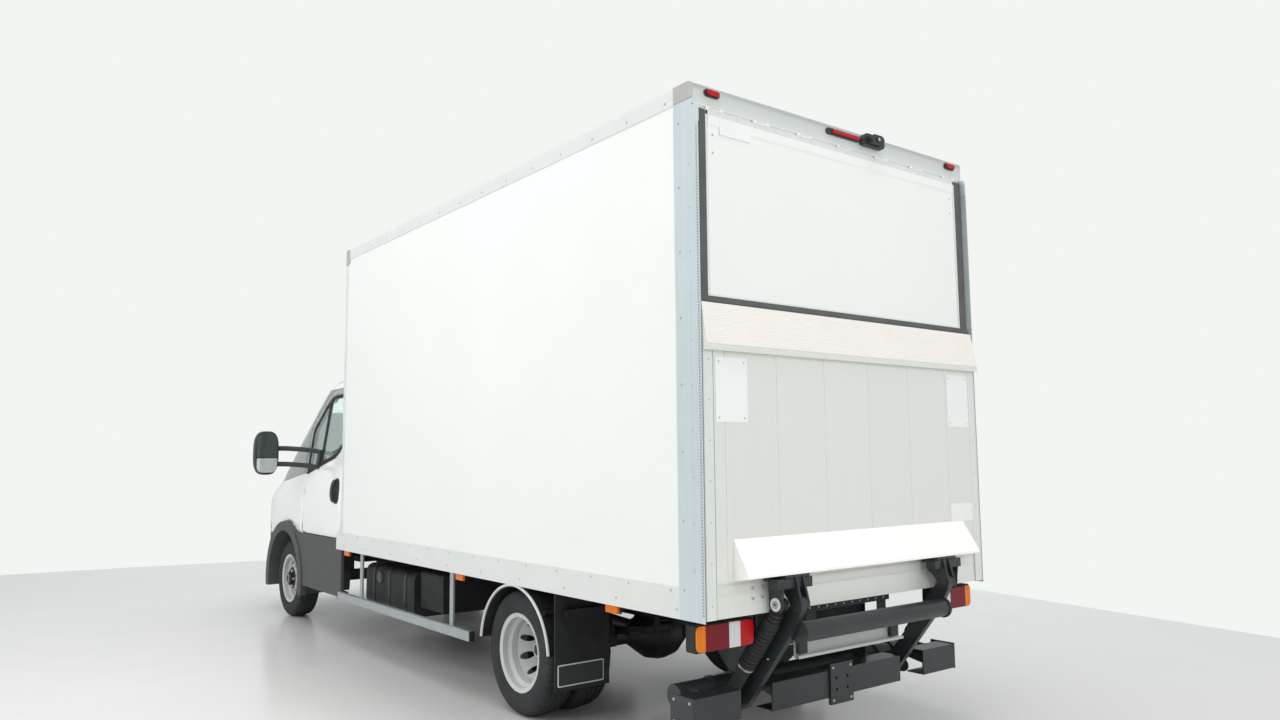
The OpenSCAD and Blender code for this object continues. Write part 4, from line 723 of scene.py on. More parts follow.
piece("flapScrews", [domes(screws, (0, 1, 0), 0.006, 0.002)], zinc, "flap", smooth=True)

# Blank sign plates: white lacquered sheet, a little brighter than the deck
signWhite = paint("signPlateWhite", "#F2F3F2", "#E9EBEA", 0.3, 0.3)
piece("flapSignPlate", [plate(rectangle((0.688, 2.944), (0.888, 3.024), 0.004), flapFace - 0.0004,
                              flapFace + 0.0052, axis=1)], signWhite, "flap", slotName="panel_paint")

# Hinge strip on the flap's upper edge in eight lengths, and the header's closing strip above it
hingeCuts = np.linspace(-1.030, 1.030, 9)
hingeRuns = [((a + 0.0008, flapFace - 0.0005, 3.0265), (b - 0.0008, flapFace + 0.0040, 3.0492)) for a,
             b in zip(hingeCuts[:-1], hingeCuts[1:])]
coverShape = [(flapFace - 0.0005, 2.968), (flapFace + 0.0036, 2.984), (flapFace + 0.0036, 3.0270),
              (flapFace - 0.0005, 3.0270)]
piece("flapHingeStrip", [boxes(hingeRuns)], railMetal, "flap", bevel=0.0006, slotName="rail_alu")
piece("flapHingeCover", [plate(coverShape, -0.960, 0.960)], gelcoat, "flap", slotName="panel_paint")
piece("headerSealStrip", [boxes([((-1.036, rearY - 0.062, 3.0532), (1.036, rearY - 0.0372, 3.0634))])],
      railMetal, slotName="rail_alu")

# Pressed lip of the platform: its outer face with cross ribs 12 mm apart, height 0.6 mm * cos
lip = {"foot": (rearY + 0.0280, 1.9490), "tip": (rearY - 0.0062, 2.1395), "half": 1.0385, "ribs": 16,
       "swing": 0.0006}
lipFoot, lipTip = np.array([lip["foot"]]), np.array([lip["tip"]])
lipRun = np.linspace(0, 1, 193)[:, None]
lipLine = lipFoot * (1 - lipRun) + lipTip * lipRun
lipNormal = (lipTip - lipFoot)[:, ::-1] * [1, -1]
lipNormal /= np.linalg.norm(lipNormal)
lipOuter = lipLine + lipNormal * (0.0012 - lip["swing"] * np.cos(lipRun * lip["ribs"] * 2 * np.pi))
lipOutline = np.vstack([lipOuter, lipTip - lipNormal * 0.001, lipFoot - lipNormal * 0.001])
piece("platformLip", [plate(lipOutline, -lip["half"], lip["half"])], lipMetal, "deck", slotName="deck_alu",
      smooth=True, angle=50)

# Blank sign plates of the platform, each with its low and high x and z, and their screws
signs = [(side * 0.871 - 0.098, side * 0.871 + 0.098, 1.601, 1.894) for side in (1, -1)]
signParts = [plate(rectangle((x0, z0), (x1, z1), 0.006), rearY - 0.0004, rearY + 0.0026, axis=1)
             for x0, x1, z0, z1 in signs]
smallSign = plate(rectangle((-0.976, 1.078), (-0.770, 1.176), 0.004),
                  rearY - 0.0004, rearY + 0.0014, axis=1)
piece("platformSignPlates", signParts + [smallSign], signWhite, "deck", slotName="panel_paint")
signScrews = [(x, rearY + 0.0024, z) for x0, x1, z0, z1 in signs for z in (z1 - 0.02, z0 + 0.02)
              for x in (x0 + 0.02, x1 - 0.02)]
piece("signScrews", [domes(signScrews, (0, 1, 0), 0.005, 0.002)], zinc, "deck", smooth=True)

# Side profiles and root profile of the deck: flat bars with a bead along each edge
bead = [((x0, rearY - 0.0005, 0.742), (x0 + 0.006, rearY + 0.0025, 1.925)) for x0 in (0.974, 1.032)]
rootBeads = [((-1.038, rearY - 0.0005, z), (1.038, rearY + 0.0022, z + 0.004)) for z in (0.840, 0.877)]
piece("platformBeads", bothSides([boxes(bead)]) + [boxes(rootBeads)], railMetal, "deck", bevel=0.001,
      slotName="deck_alu")
edgeScrews = [(x, rearY, z) for x in (1.006, -1.006) for z in np.arange(0.80, 1.9, 0.18)]
piece("platformEdgeScrews", [domes(edgeScrews, (0, 1, 0), 0.004, 0.0018)], zinc, "deck", smooth=True)
print("box and platform details made")

# Tyres: tread half width and crown radius, zigzag grooves, and short cross grooves, in metres
tyreValues = {"rings": 360, "sipes": 66, "treadHalf": 0.0745, "crown": 0.3478,
              "grooves": (-0.053, -0.018, 0.018, 0.053), "grooveDepth": 0.0075, "grooveHalf": 0.0042,
              "zigzag": 0.003, "zigzags": 22, "shoulderFrom": 0.060, "shoulderDepth": 0.006,
              "sipeDepth": 0.0025}


def tyreRing(centre):
    # Section (across, radius) through smooth points. The tread's radius falls by the depth inside the zigzag
    # grooves, across = groove + 3 mm * sin(22 t), and inside the short cross grooves of both shoulders
    half = [(0.0785, 0.2045), (0.0815, 0.2160), (0.0850, 0.2235), (0.0905, 0.2330), (0.0955, 0.2520),
            (0.0972, 0.2750), (0.0958, 0.2990), (0.0915, 0.3190), (0.0845, 0.3325), (0.0760, 0.3400)]
    wall = smoothPath(half, 22)
    value = tyreValues
    crown = np.linspace(-value["treadHalf"], value["treadHalf"], 61)
    tread = np.stack([crown, value["crown"] - 0.0072 * (crown / value["treadHalf"]) ** 4], -1)
    section = np.vstack([wall * [-1, 1], tread, wall[::-1]])
    t = np.linspace(0, 2 * np.pi, value["rings"], endpoint=False)[:, None]
    a, r = section[None, :, 0], np.repeat(section[None, :, 1], value["rings"], 0)
    inTread = np.abs(a) < value["treadHalf"]
    for groove in value["grooves"]:
        away = np.abs(a - groove - value["zigzag"] * np.sin(value["zigzags"] * t))
        r = r - inTread * value["grooveDepth"] * np.clip((value["grooveHalf"] - away) / 0.0016, 0, 1)
    # Cross grooves: sipes of them round each shoulder, and twice as many fine ones across the middle
    turns = t * value["sipes"] / (2 * np.pi)
    phase = np.abs((turns + 0.35 * np.sign(a)) % 1 - 0.5)
    shoulder = (np.abs(a) > value["shoulderFrom"]) * (r > 0.318)
    r = r - shoulder * value["shoulderDepth"] * np.clip((phase - 0.40) / 0.05, 0, 1)
    fine = (np.abs(a) < value["shoulderFrom"]) * (np.abs((2 * turns + 9 * a) % 1 - 0.5) > 0.44)
    r = r - fine * value["sipeDepth"] * inTread
    # Two raised rings on the sidewall: 1.1 mm * e^-(distance / 2.2 mm)^2
    rings = sum(np.exp(-((r - radius) / 0.0022) ** 2) for radius in (0.238, 0.305))
    across = a + np.sign(a) * 0.0011 * rings * (np.abs(a) > 0.08) * (np.abs(a) < 0.0968)
    points = np.stack([centre[0] + across, centre[1] + r * np.cos(t), centre[2] + r * np.sin(t)], -1)
    return surface(points, True, True)


def nuts(x, side, count, ring=0.066, size=0.0135, height=0.0235):
    # Hexagon nuts on a circle, each a prism with a smaller washer face at its tip
    parts = []
    hexagon = np.stack([np.cos(np.arange(6) * np.pi / 3), np.sin(np.arange(6) * np.pi / 3)], -1)
    for turn in np.arange(count) * 2 * np.pi / count:
        middle = np.array([ring * np.cos(turn), ring * np.sin(turn)])
        rings = [(x, size), (x + side * height * 0.85, size), (x + side * height, size * 0.82)]
        parts.append([np.column_stack([np.full(6, at), middle + hexagon * r]) for at, r in rings])
    return [capped(np.array(rings)) for rings in parts]


def shifted(parts, move):
    # Parts moved by (x, y, z)
    return [(np.asarray(points) + np.asarray(move), faces) for points, faces in parts]


wheelX = {"front": 0.860, "rearOuter": 0.915, "rearInner": 0.683}
# Hub caps: a dark cast drum with a rounded lid, ribbed edge
frontCap = [(0.9012, 0.1010), (0.9180, 0.1000), (0.9230, 0.0950), (0.9235, 0.0560), (0.9400, 0.0550),
            (0.9440, 0.0570), (0.9520, 0.0570), (0.9600, 0.0510), (0.9660, 0.0400), (0.9685, 0.0250),
            (0.9690, 0.0001)]
rearCap = [(0.8095, 0.0530), (0.8500, 0.0525), (0.8560, 0.0560), (0.8680, 0.0550), (0.8780, 0.0470),
           (0.8835, 0.0300), (0.8845, 0.0001)]
hubs = [  # name, cap, axle, body, disc's face, nuts' circle
    ("frontHub_", frontCap, axleY, "wheel_front_", 0.9232, 0.077),
    ("rearHub_", rearCap, backAxleY, "wheels_rear_", 0.8090, 0.066),
]
for side, label in ((1, "left"), (-1, "right")):
    piece("frontTyre_" + label, [tyreRing((side * wheelX["front"], axleY, tyreR))], rubber,
          "wheel_front_" + label, "tyre_rubber", replaces=["tyre_front_" + label], smooth=True, angle=28)
    twins = [tyreRing((side * wheelX[name], backAxleY, tyreR)) for name in ("rearOuter", "rearInner")]
    piece("rearTyres_" + label, twins, rubber, "wheels_rear_" + label, "tyre_rubber",
          replaces=["tyres_rear_" + label], smooth=True, angle=28)
    for name, cap, y, body, discX, ring in hubs:
        flipped = [(side * along, r) for along, r in cap]
        piece(name + label, [turned(flipped, (0, y, tyreR), steps=48, caps=True)], castIron, body + label,
              smooth=True)
        circle = shifted(nuts(side * discX, side, 6, ring), (0, y, tyreR))
        piece(name + "nuts_" + label, circle, zinc, body + label, bevel=0.001)
        stem = [(side * (discX + out), y + back, tyreR + up) for out, back,
                up in ((0.002, 0.150, 0.030), (0.020, 0.155, 0.032), (0.034, 0.150, 0.031))]
        piece(name + "valve_" + label, [swept(circleProfile(0.004, 8), stem)], rubber, body + label,
              smooth=True)

# Mudguards' piping, mud flaps and side guards
mudguard = {"radius": 0.380, "endAbove": 0.045, "x": 1.0415, "behind": 0.445}
guardR, endTurn = mudguard["radius"], math.asin(mudguard["endAbove"] / mudguard["radius"])
arcTurn = np.linspace(endTurn, math.pi - endTurn, 72)
arc = np.stack([np.full(72, mudguard["x"]), backAxleY + guardR * np.cos(arcTurn),
                tyreR + guardR * np.sin(arcTurn)], -1)
# Piping of the mudguards: pale grey rubber edge that draws the arch against the dark
piping = paint("pipingPaleGrey", "#D8DAD8", "#C8CAC8", 0.4, 0.2)
piece("mudguardPiping", bothSides([swept(circleProfile(0.0085), arc, up=(1, 0, 0))]), piping, smooth=True)
flapRear = backAxleY + mudguard["behind"]
flapOutline = rectangle((0.728, 0.238), (1.027, 0.353), 0.010)
innerOutline = rectangle((0.735, 0.245), (1.020, 0.346), 0.008)
piece("mudflapPlateFrame", bothSides([plate(flapOutline, flapRear + 0.0003, flapRear + 0.0030, axis=1)]),
      piping, bevel=0.0008)
piece("mudflapPlate", bothSides([plate(innerOutline, flapRear + 0.0025, flapRear + 0.0042, axis=1)]),
      mirrorPlastic, bevel=0.0008)
ribs = [((x, flapRear - 0.0002, 0.37), (x + 0.006, flapRear + 0.0022, 0.715))
        for x in np.arange(0.71, 1.03, 0.022)]
piece("mudflapRibs", bothSides([boxes(ribs)]), plasticBlack, bevel=0.0008, slotName="tank_black")

guardX, guardY = (1.0135, 1.0465), (rearY - 4.469, rearY - 2.181)
capShape = [((guardX[0], guardY[1] - 0.010, 0.3345), (guardX[1], guardY[1] + 0.007, 0.3975)),
            ((guardX[0], guardY[0] - 0.007, 0.3345), (guardX[1], guardY[0] + 0.010, 0.3975))]
piece("guardEndCaps", bothSides([boxes(capShape)]), plasticBlack, bevel=0.004, bevelSteps=3,
      slotName="tank_black")
lipRuns = [((guardX[1] - 0.0006, guardY[0] + 0.01, z), (guardX[1] + 0.0014, guardY[1] - 0.01, z + 0.006))
           for z in (0.3375, 0.3885)]
piece("guardRailLips", bothSides([boxes(lipRuns)]), guardMetal, bevel=0.0006, slotName="rail_alu")
guardBolts = [(guardX[1] - 0.0002, y + dy, 0.366) for y in (rearY - 4.033, rearY - 2.487)
              for dy in (-0.012, 0.012)]
piece("guardBolts", bothSides([domes(guardBolts, (1, 0, 0), 0.008, 0.0045)]), zinc, smooth=True)

# Steel straps round the tank, made as a thin band that follows its rounded section
strap = {"low": (0.4165, 0.3275), "high": (0.9325, 0.6425), "corner": 0.066, "places": (2.02, 2.31, 2.60),
         "half": 0.020}
band = rectangle(strap["low"], strap["high"], strap["corner"], 9)
straps = [surface(np.stack([np.column_stack([band[:, 0], np.full(len(band), y + dy), band[:, 1]])
                            for dy in (-strap["half"], strap["half"])]), False, True)
          for y in axleY + np.array(strap["places"])]
sheet(piece("tankStraps", straps, chassisPaint, outward=False), 0.003, 0)
piece("tankCap", [turned([(0.929, 0.045), (0.944, 0.045), (0.950, 0.040), (0.952, 0.0001)],
                         (0, axleY + 2.16, 0.56), steps=32, caps=True)], plasticDark, bevel=0.001)

# Tail lamps, plate carrier and the strip under the platform
lampY = rearY - 0.080
tailLamp = {"low": 0.5880, "high": 0.7120, "inner": 0.6795, "outer": 1.0385, "rim": 0.0055}
lampCuts = [  # outer end, inner end, lens
    (1.0320, 0.9810, lensAmber), (0.9800, 0.8410, lensRed),
    (0.8400, 0.7710, lensWhite), (0.7700, 0.6870, lensBright)]
housing = rectangle((tailLamp["inner"], tailLamp["low"]), (tailLamp["outer"], tailLamp["high"]), 0.014)
piece("tailLampHousings", bothSides([plate(housing, lampY - 0.068, lampY - 0.006, axis=1)]), plasticBlack,
      bevel=0.005, bevelSteps=3, slotName="dark_plastic", replaces=["tail_lamps"])
piece("tailLampHangers", bothSides([boxes([((0.740, lampY - 0.076, 0.600),
                                            (0.950, lampY - 0.069, 0.7445))])]), liftPaint, bevel=0.001)
for index, (outer, inner, glass) in enumerate(lampCuts):
    innerRound, outerRound = 0.030 if index == 3 else 0.002, 0.026 if index == 0 else 0.002
    segment = rectangle((inner, tailLamp["low"] + tailLamp["rim"]),
                        (outer, tailLamp["high"] - tailLamp["rim"]),
                        [innerRound, outerRound, outerRound, innerRound])
    piece("tailLens_" + str(index), bothSides([plate(segment, lampY - 0.008, lampY + 0.004, axis=1)]), glass,
          bevel=0.004, bevelSteps=4, slotName="lens_red")

carrierY = rearY - 0.100
# Number plate's carrier: pale grey painted sheet steel
carrierShade = paint("plateCarrierGrey", "#C9CDCB", "#BDC1BF", 0.4, 0.2)
tray = [(carrierY, 0.600), (carrierY - 0.003, 0.600), (carrierY - 0.003, 0.490), (carrierY - 0.003, 0.486),
        (carrierY + 0.030, 0.486), (carrierY + 0.030, 0.500), (carrierY + 0.0275, 0.500),
        (carrierY + 0.0275, 0.489), (carrierY, 0.489)]
piece("plateCarrier", [plate(tray, -0.400, 0.400)], carrierShade, bevel=0.0008)
hangers = [((x - 0.035, carrierY - 0.009, 0.500), (x + 0.035, carrierY - 0.0032, 0.7446))
           for x in (-0.27, 0.27)]
piece("carrierHangers", [boxes(hangers)], liftPaint, bevel=0.001)
blocks = [((x - 0.030, carrierY - 0.0002, 0.505), (x + 0.030, carrierY + 0.026, 0.592))
          for x in (-0.335, 0.36)]
piece("plateLamps", [boxes(blocks)], mirrorPlastic, bevel=0.006, bevelSteps=3)
strip = [((-0.287, rearY - 0.086, 0.700), (0.426, rearY - 0.066, 0.7446))]
piece("perforatedStrip", [boxes(strip)], liftPaint, bevel=0.002)
dots = [(x, rearY - 0.0664, 0.716) for x in np.linspace(-0.24, 0.38, 11)]
piece("stripDots", [domes(dots, (0, 1, 0), 0.006, 0.0015)], zinc, smooth=True)

# Caps on the grease nipples: bright yellow plastic, small points of colour
yellow = paint("greaseCapYellow", "#E8C51A", "#D6B210", 0.4, 0.2)
# Washer round the eye's pin: white nylon, the lift's brightest spot
ringWhite = paint("pinRingWhite", "#EDEEEA", "#DCDDD9", 0.4, 0.2)
# Lift: the arms' and the tilt cylinders' lines at rest, as (y, z)
lift = {"hinge": (rearY + 0.098, 0.783), "angle": 52.6, "length": 0.639, "eyeBack": (0.050, 0.003),
        "ramX": 0.630, "eyeX": 0.6685, "ringRadius": 0.030}
hingeAt, armTurn = np.array(lift["hinge"]), math.radians(lift["angle"])
along = np.array([math.cos(armTurn), math.sin(armTurn)])
squareTo = np.array([-math.sin(armTurn), math.cos(armTurn)])
armFoot = hingeAt - lift["length"] * along
eyeAt = hingeAt - lift["eyeBack"]
ramFoot = eyeAt - lift["length"] * along


def onArm(foot, reach, off, x):
    # Place at x on an arm or cylinder: foot + reach along it + off square to it
    spot = foot + reach * along + off * squareTo
    return (x, spot[0], spot[1])


# Pin at the rod's eye: white washer with a dark centre and a bolt head
eyeX, ringR = lift["eyeX"], lift["ringRadius"]
washer = [(eyeX, ringR), (eyeX + 0.0030, ringR), (eyeX + 0.0038, ringR - 0.001), (eyeX + 0.0038, 0.0200),
          (eyeX + 0.0020, 0.0195), (eyeX + 0.0020, 0.0001)]
core = [(eyeX + 0.0021, 0.0165), (eyeX + 0.0050, 0.0165), (eyeX + 0.0060, 0.0155), (eyeX + 0.0060, 0.0001)]
piece("eyeWashers", bothSides([turned(washer, (0, *eyeAt), steps=40, caps=True)]), ringWhite, "deck",
      slotName="pin_white")
piece("eyePinCores", bothSides([turned(core, (0, *eyeAt), steps=24, caps=True)]),
      guardMetal, "deck")
piece("eyeBolts", bothSides([domes([(eyeX + 0.0060, *eyeAt)], (1, 0, 0), 0.006, 0.003)]), liftPaint, "deck",
      smooth=True)

# Outer ears of the platform that carry the rods' eyes: plates rounded about the eye
eyeTurn = np.linspace(math.radians(12), math.radians(-195), 28)
eyeRound = np.stack([eyeAt[0] + 0.043 * np.cos(eyeTurn), eyeAt[1] + 0.043 * np.sin(eyeTurn)], -1)
earShape = np.vstack([[(rearY + 0.004, 0.893), (rearY + 0.094, 0.893), (rearY + 0.097, 0.850)], eyeRound,
                      [(rearY + 0.004, 0.800)]])
piece("eyeEars", bothSides([plate(earShape, eyeX - 0.008, eyeX)]), liftPaint, "deck", "lift_steel",
      bevel=0.0015)

# Hinge pins of the platform: a collar on the outer ear, and bolts of ears and root
collar = [(0.5885, 0.0240), (0.5960, 0.0240), (0.5975, 0.0225), (0.5975, 0.0001)]
piece("hingeCollars", bothSides([turned(collar, (0, *hingeAt), steps=32, caps=True)]), liftPaint, "deck")
earBolts = [(x, y, 0.8880) for x in (0.500, 0.530, 0.620, 0.650) for y in (rearY + 0.022, rearY + 0.068)]
piece("earBolts", bothSides([domes(earBolts, (0, 0, -1), 0.010, 0.008)]), zinc, "deck", smooth=True)
backBolts = [(x, rearY - 0.0005, z) for x in (0.640, 0.700, 0.760) for z in (0.812, 0.858)]
piece("rootBolts", bothSides([domes(backBolts, (0, 1, 0), 0.007, 0.004)]), zinc, "deck", smooth=True)

# Grease nipples with yellow caps on arms, and on the lower pins
nipples = [onArm(armFoot, reach, off, 0.5770) for reach,
           off in ((0.602, 0.030), (0.300, -0.012), (0.024, 0.030))]
piece("greaseCapsArms", bothSides([domes(nipples, (1, 0, 0), 0.0055, 0.009)]), yellow, "arms", smooth=True)
lowNipples = [onArm(ramFoot, 0.020, 0.0, 0.6500)]
piece("greaseCapsBarrels", bothSides([domes(lowNipples, (1, 0, 0), 0.0055, 0.009)]), yellow, "barrels",
      smooth=True)

# Weld beads where the cross tube meets the arms: a ring of overlapping drops
tubeAt = armFoot + 0.521 * along - 0.066 * squareTo
beadTurn = np.linspace(0, 2 * np.pi, 97)[:, None]
weldR = 0.0465 + 0.0012 * np.cos(48 * beadTurn)
weldPath = np.hstack([np.full((97, 1), 0.5405), tubeAt[0] + weldR * np.cos(beadTurn),
                      tubeAt[1] + weldR * np.sin(beadTurn)])
piece("tubeWelds", bothSides([swept(circleProfile(0.0045, 8), weldPath, up=(1, 0, 0))]), liftPaint, "arms",
      smooth=True)

# Smooth rubber bellows over the CAD's ribs: radius = mean + swing * cos(ribs)
bellowsValues = {"from": 0.250, "to": 0.592, "mean": 0.0375, "narrower": 0.010, "swing": 0.0065,
                 "pitch": 0.0228, "ends": 0.026}
reachList = np.linspace(bellowsValues["from"], bellowsValues["to"], 241)
mean = bellowsValues["mean"] - bellowsValues["narrower"] * np.clip((reachList - 0.50) / 0.092, 0, 1)
ribTurn = (reachList - bellowsValues["from"]) / bellowsValues["pitch"] * 2 * np.pi + np.pi
swell = mean + bellowsValues["swing"] * np.cos(ribTurn)
swell[[0, -1]] = bellowsValues["ends"]
bellowsPath = np.array([onArm(ramFoot, s, 0, lift["ramX"]) for s in reachList])
bellows = swept(circleProfile(1.0, 40), bellowsPath, up=(1, 0, 0), widths=swell)
# Bellows: moulded rubber, smooth enough to glint on each rib
bellowsRubber = grainedPlastic("bellowsMouldedRubber", "#2E3131", "#262929", 0.36, 700)
piece("bellows", bothSides([bellows]), bellowsRubber, "barrels", slotName="lift_black", smooth=True, angle=60)
clampRing = swept(circleProfile(0.0425, 40),
                  [onArm(ramFoot, reach, 0, lift["ramX"]) for reach in (0.243, 0.253)], up=(1, 0, 0))
piece("bellowsClamps", bothSides([clampRing]), zinc, "barrels", bevel=0.001)

# Bolts on the underrun bars' end plates and on the coupling plate's brackets
barMiddle = (rearY - 0.220, 0.306)
plateBolts = [(0.9880, barMiddle[0] + dy, barMiddle[1] + dz) for dy in (-0.075, 0.035)
              for dz in (-0.048, 0.048)]
piece("underrunBolts", bothSides([domes(plateBolts, (1, 0, 0), 0.008, 0.006)]), zinc, smooth=True,
      slotName="pin_white")
couplingBolts = [(x, rearY - 0.1531, barMiddle[1] + dz) for x in (-0.066, 0.066) for dz in (-0.080, 0.080)]
piece("couplingBolts", [domes(couplingBolts, (0, 1, 0), 0.008, 0.006)], zinc, smooth=True)
print("wheels, guards, lamps and lift details made")

# Cab: one smooth skin, found where three smoothed outlines meet; places in metres behind the front axle
cabValues = {"halfWidth": 1.0, "edgeBlend": 0.13, "edgeShare": 0.93, "seam": 0.0045, "gridPitch": 0.045,
             "skin": 0.018, "bonnetHalf": 0.857}
cabSide = [(-0.986, 0.42), (-0.986, 0.70), (-0.968, 0.86), (-0.925, 1.01), (-0.84, 1.085), (-0.33, 1.27),
           (0.62, 2.12), (0.69, 2.165), (0.80, 2.205), (0.96, 2.228), (1.15, 2.235), (1.38, 2.228),
           (1.46, 2.18), (1.46, 0.30), (-0.86, 0.30), (-0.94, 0.345)]
cabSideRadii = [0.10, 0.20, 0.10, 0.12, 0.12, 0.06, 0.14, 0.05, 0.08, 0.1, 0.1, 0.05, 0.05, 0.01, 0.04, 0.06]
cabSection = smoothPath([(0.963, 0.28), (0.972, 0.50), (0.990, 0.74), (0.999, 0.92), (0.993, 1.10),
                         (0.972, 1.30), (0.918, 1.66), (0.860, 2.03), (0.828, 2.12), (0.775, 2.18),
                         (0.68, 2.22), (0.40, 2.26)], 200)
cabPlan = smoothPath([(0.20, -1.02), (0.40, -0.995), (0.60, -0.955), (0.76, -0.885), (0.88, -0.780),
                      (0.945, -0.660), (0.98, -0.480), (0.998, -0.20), (1.0, 0.2), (1.0, 0.9),
                      (0.994, 1.47)], 200)


def insideBy(outline, points):
    # Signed distance to a closed outline: least distance to its segments, negative inside (even-odd rule)
    a, b = outline, np.roll(outline, -1, 0)
    run = b - a
    least = np.full(len(points), 9.0)
    inside = np.zeros(len(points), bool)
    for (ax, az), (dx, dz) in zip(a, run):
        px, pz = points[:, 0] - ax, points[:, 1] - az
        t = np.clip((px * dx + pz * dz) / (dx * dx + dz * dz + 1e-12), 0, 1)
        least = np.minimum(least, np.hypot(px - t * dx, pz - t * dz))
        if abs(dz) > 1e-12:
            inside ^= ((pz < 0) != (pz < dz)) & (px < pz / dz * dx)
    return np.where(inside, -least, least)


sideOutline = roundedOutline(cabSide, np.array(cabSideRadii), 7)
fieldY, fieldZ = np.arange(-1.2, 1.7, 0.01), np.arange(0.2, 2.4, 0.01)
fieldPoints = np.stack(np.meshgrid(fieldY, fieldZ, indexing="ij"), -1)
field = insideBy(sideOutline, fieldPoints.reshape(-1, 2)).reshape(len(fieldY), len(fieldZ))


def sideDistance(y, z):
    # The distance read back from its grid, linear between four grid places
    u = np.clip((y - fieldY[0]) / 0.01, 0, len(fieldY) - 1.001)
    v = np.clip((z - fieldZ[0]) / 0.01, 0, len(fieldZ) - 1.001)
    i, j = u.astype(int), v.astype(int)
    s, t = u - i, v - j
    return ((1 - s) * (1 - t) * field[i, j] + s * (1 - t) * field[i + 1, j] + (1 - s) * t * field[i, j + 1]
            + s * t * field[i + 1, j + 1])


def blendMax(a, b, reach):
    # The larger of two distances, with a parabola where they are within reach of each other
    h = np.clip(0.5 + 0.5 * (a - b) / reach, 0, 1)
    return b + (a - b) * h + reach * h * (1 - h)


def cabDistance(p):
    # Distance to the skin: the blended larger one of the section's, the plan's and the side outline's
    x, y, z = np.abs(p[..., 0]), p[..., 1], p[..., 2]
    order = np.argsort(cabPlan[:, 1])
    wide = cabValues["halfWidth"] * np.interp(z, cabSection[:, 1], cabSection[:, 0])
    plan = cabValues["halfWidth"] * np.interp(y, cabPlan[order, 1], cabPlan[order, 0])
    flank = blendMax(x - wide, (x - plan) * 0.8, 0.06)
    return blendMax(flank, sideDistance(y, z), cabValues["edgeBlend"])


def onCab(start, direction, reach):
    # The place along each ray where the distance changes sign, halved 16 times
    start, direction = np.asarray(start, float), np.asarray(direction, float)
    low, high = np.zeros(start.shape[:-1]), np.full(start.shape[:-1], float(reach))
    for _ in range(16):
        middle = 0.5 * (low + high)
        outside = cabDistance(start + middle[..., None] * direction) > 0
        high, low = np.where(outside, middle, high), np.where(outside, low, middle)
    return start + (0.5 * (low + high))[..., None] * direction


# Rows run along the side outline from the bumper's lower edge over nose, windscreen and roof.
# s is the length from there
first = np.argmin(np.hypot(sideOutline[:, 0] + 0.955, sideOutline[:, 1] - 0.36))
ring = np.roll(sideOutline, -first, 0)
ring = ring[:np.argmax((ring[:, 0] > 1.42) & (ring[:, 1] > 2.0))]
ringS = np.concatenate([[0], np.cumsum(np.linalg.norm(np.diff(ring, axis=0), axis=1))])


def frontPatch(s, halfLow, halfHigh, columns, depth=0.0):
    # Rays from 0.3 m inside the outline, square to it; across = halfLow..halfHigh of the width at that height
    s = np.asarray(s, float)
    along = np.stack([np.interp(s, ringS, ring[:, k]) for k in (0, 1)], -1)
    ahead = np.stack([np.interp(s + 0.03, ringS, ring[:, k]) - np.interp(s - 0.03, ringS, ring[:, k])
                      for k in (0, 1)], -1)
    ahead /= np.linalg.norm(ahead, axis=1, keepdims=True)
    normal = np.stack([-ahead[:, 1], ahead[:, 0]], -1)
    u = np.linspace(0, 1, columns)[None]
    low, high = np.broadcast_to(halfLow, len(s))[:, None], np.broadcast_to(halfHigh, len(s))[:, None]
    x = low + (high - low) * u
    inner = along - 0.30 * normal
    start = np.stack([x, np.repeat(inner[:, :1], columns, 1), np.repeat(inner[:, 1:], columns, 1)], -1)
    direction = np.stack([np.zeros_like(x), np.repeat(normal[:, :1], columns, 1),
                          np.repeat(normal[:, 1:], columns, 1)], -1)
    points = onCab(start, direction, 0.36)
    return points - direction * depth


def rowsBetween(low, high, pitch=0.03):
    # Values of s about one pitch apart
    return np.linspace(low, high, max(4, int((high - low) / pitch)))


def sAt(y=None, z=None):
    # The s at which the side outline first reaches a y or a z
    value, wanted = (ring[:, 0], y) if z is None else (ring[:, 1], z)
    after = np.argmax((value >= wanted) & (ringS > 0.2))
    share = (wanted - value[after - 1]) / (value[after] - value[after - 1])
    return float(ringS[after - 1] + share * (ringS[after] - ringS[after - 1]))


def inCab(part):
    # From places behind the front axle to the truck's own
    points, faces = part
    return np.asarray(points) + [0, axleY, 0], faces


sBumper, sLamp = sAt(z=0.745), sAt(z=0.899)
sBonnet = sAt(y=-0.372)
sGlassLow, sGlassHigh, sEnd = sAt(z=1.315), sAt(z=2.075), ringS[-1]
sAll = rowsBetween(0, sEnd, 0.02)
gap = cabValues["seam"]


def heightAt(s):
    return np.interp(s, ringS, ring[:, 1])


def edgeX(s):
    # Half width at which the front meets the flank: a share of the section's, 4% less at the bumper's foot
    z = heightAt(s)
    narrowed = 1 - 0.04 * np.clip((0.9 - z) / 0.3, 0, 1)
    return cabValues["edgeShare"] * np.interp(np.minimum(z, 2.09), cabSection[:, 1],
                                              cabSection[:, 0]) * narrowed


def glassHalf(s):
    # Half width of the windscreen's opening at its height
    return np.interp(heightAt(s), [1.27, 1.315, 2.04, 2.075], [0.85, 0.845, 0.775, 0.735])


edgeLine = frontPatch(sAll, edgeX(sAll), edgeX(sAll), 1)[:, 0]
outer = np.vstack([edgeLine[:, 1:],
                   [[1.452, 2.10], [1.456, 1.6], [1.456, 0.60], [0.30, 0.30], [-0.50, 0.30]]])

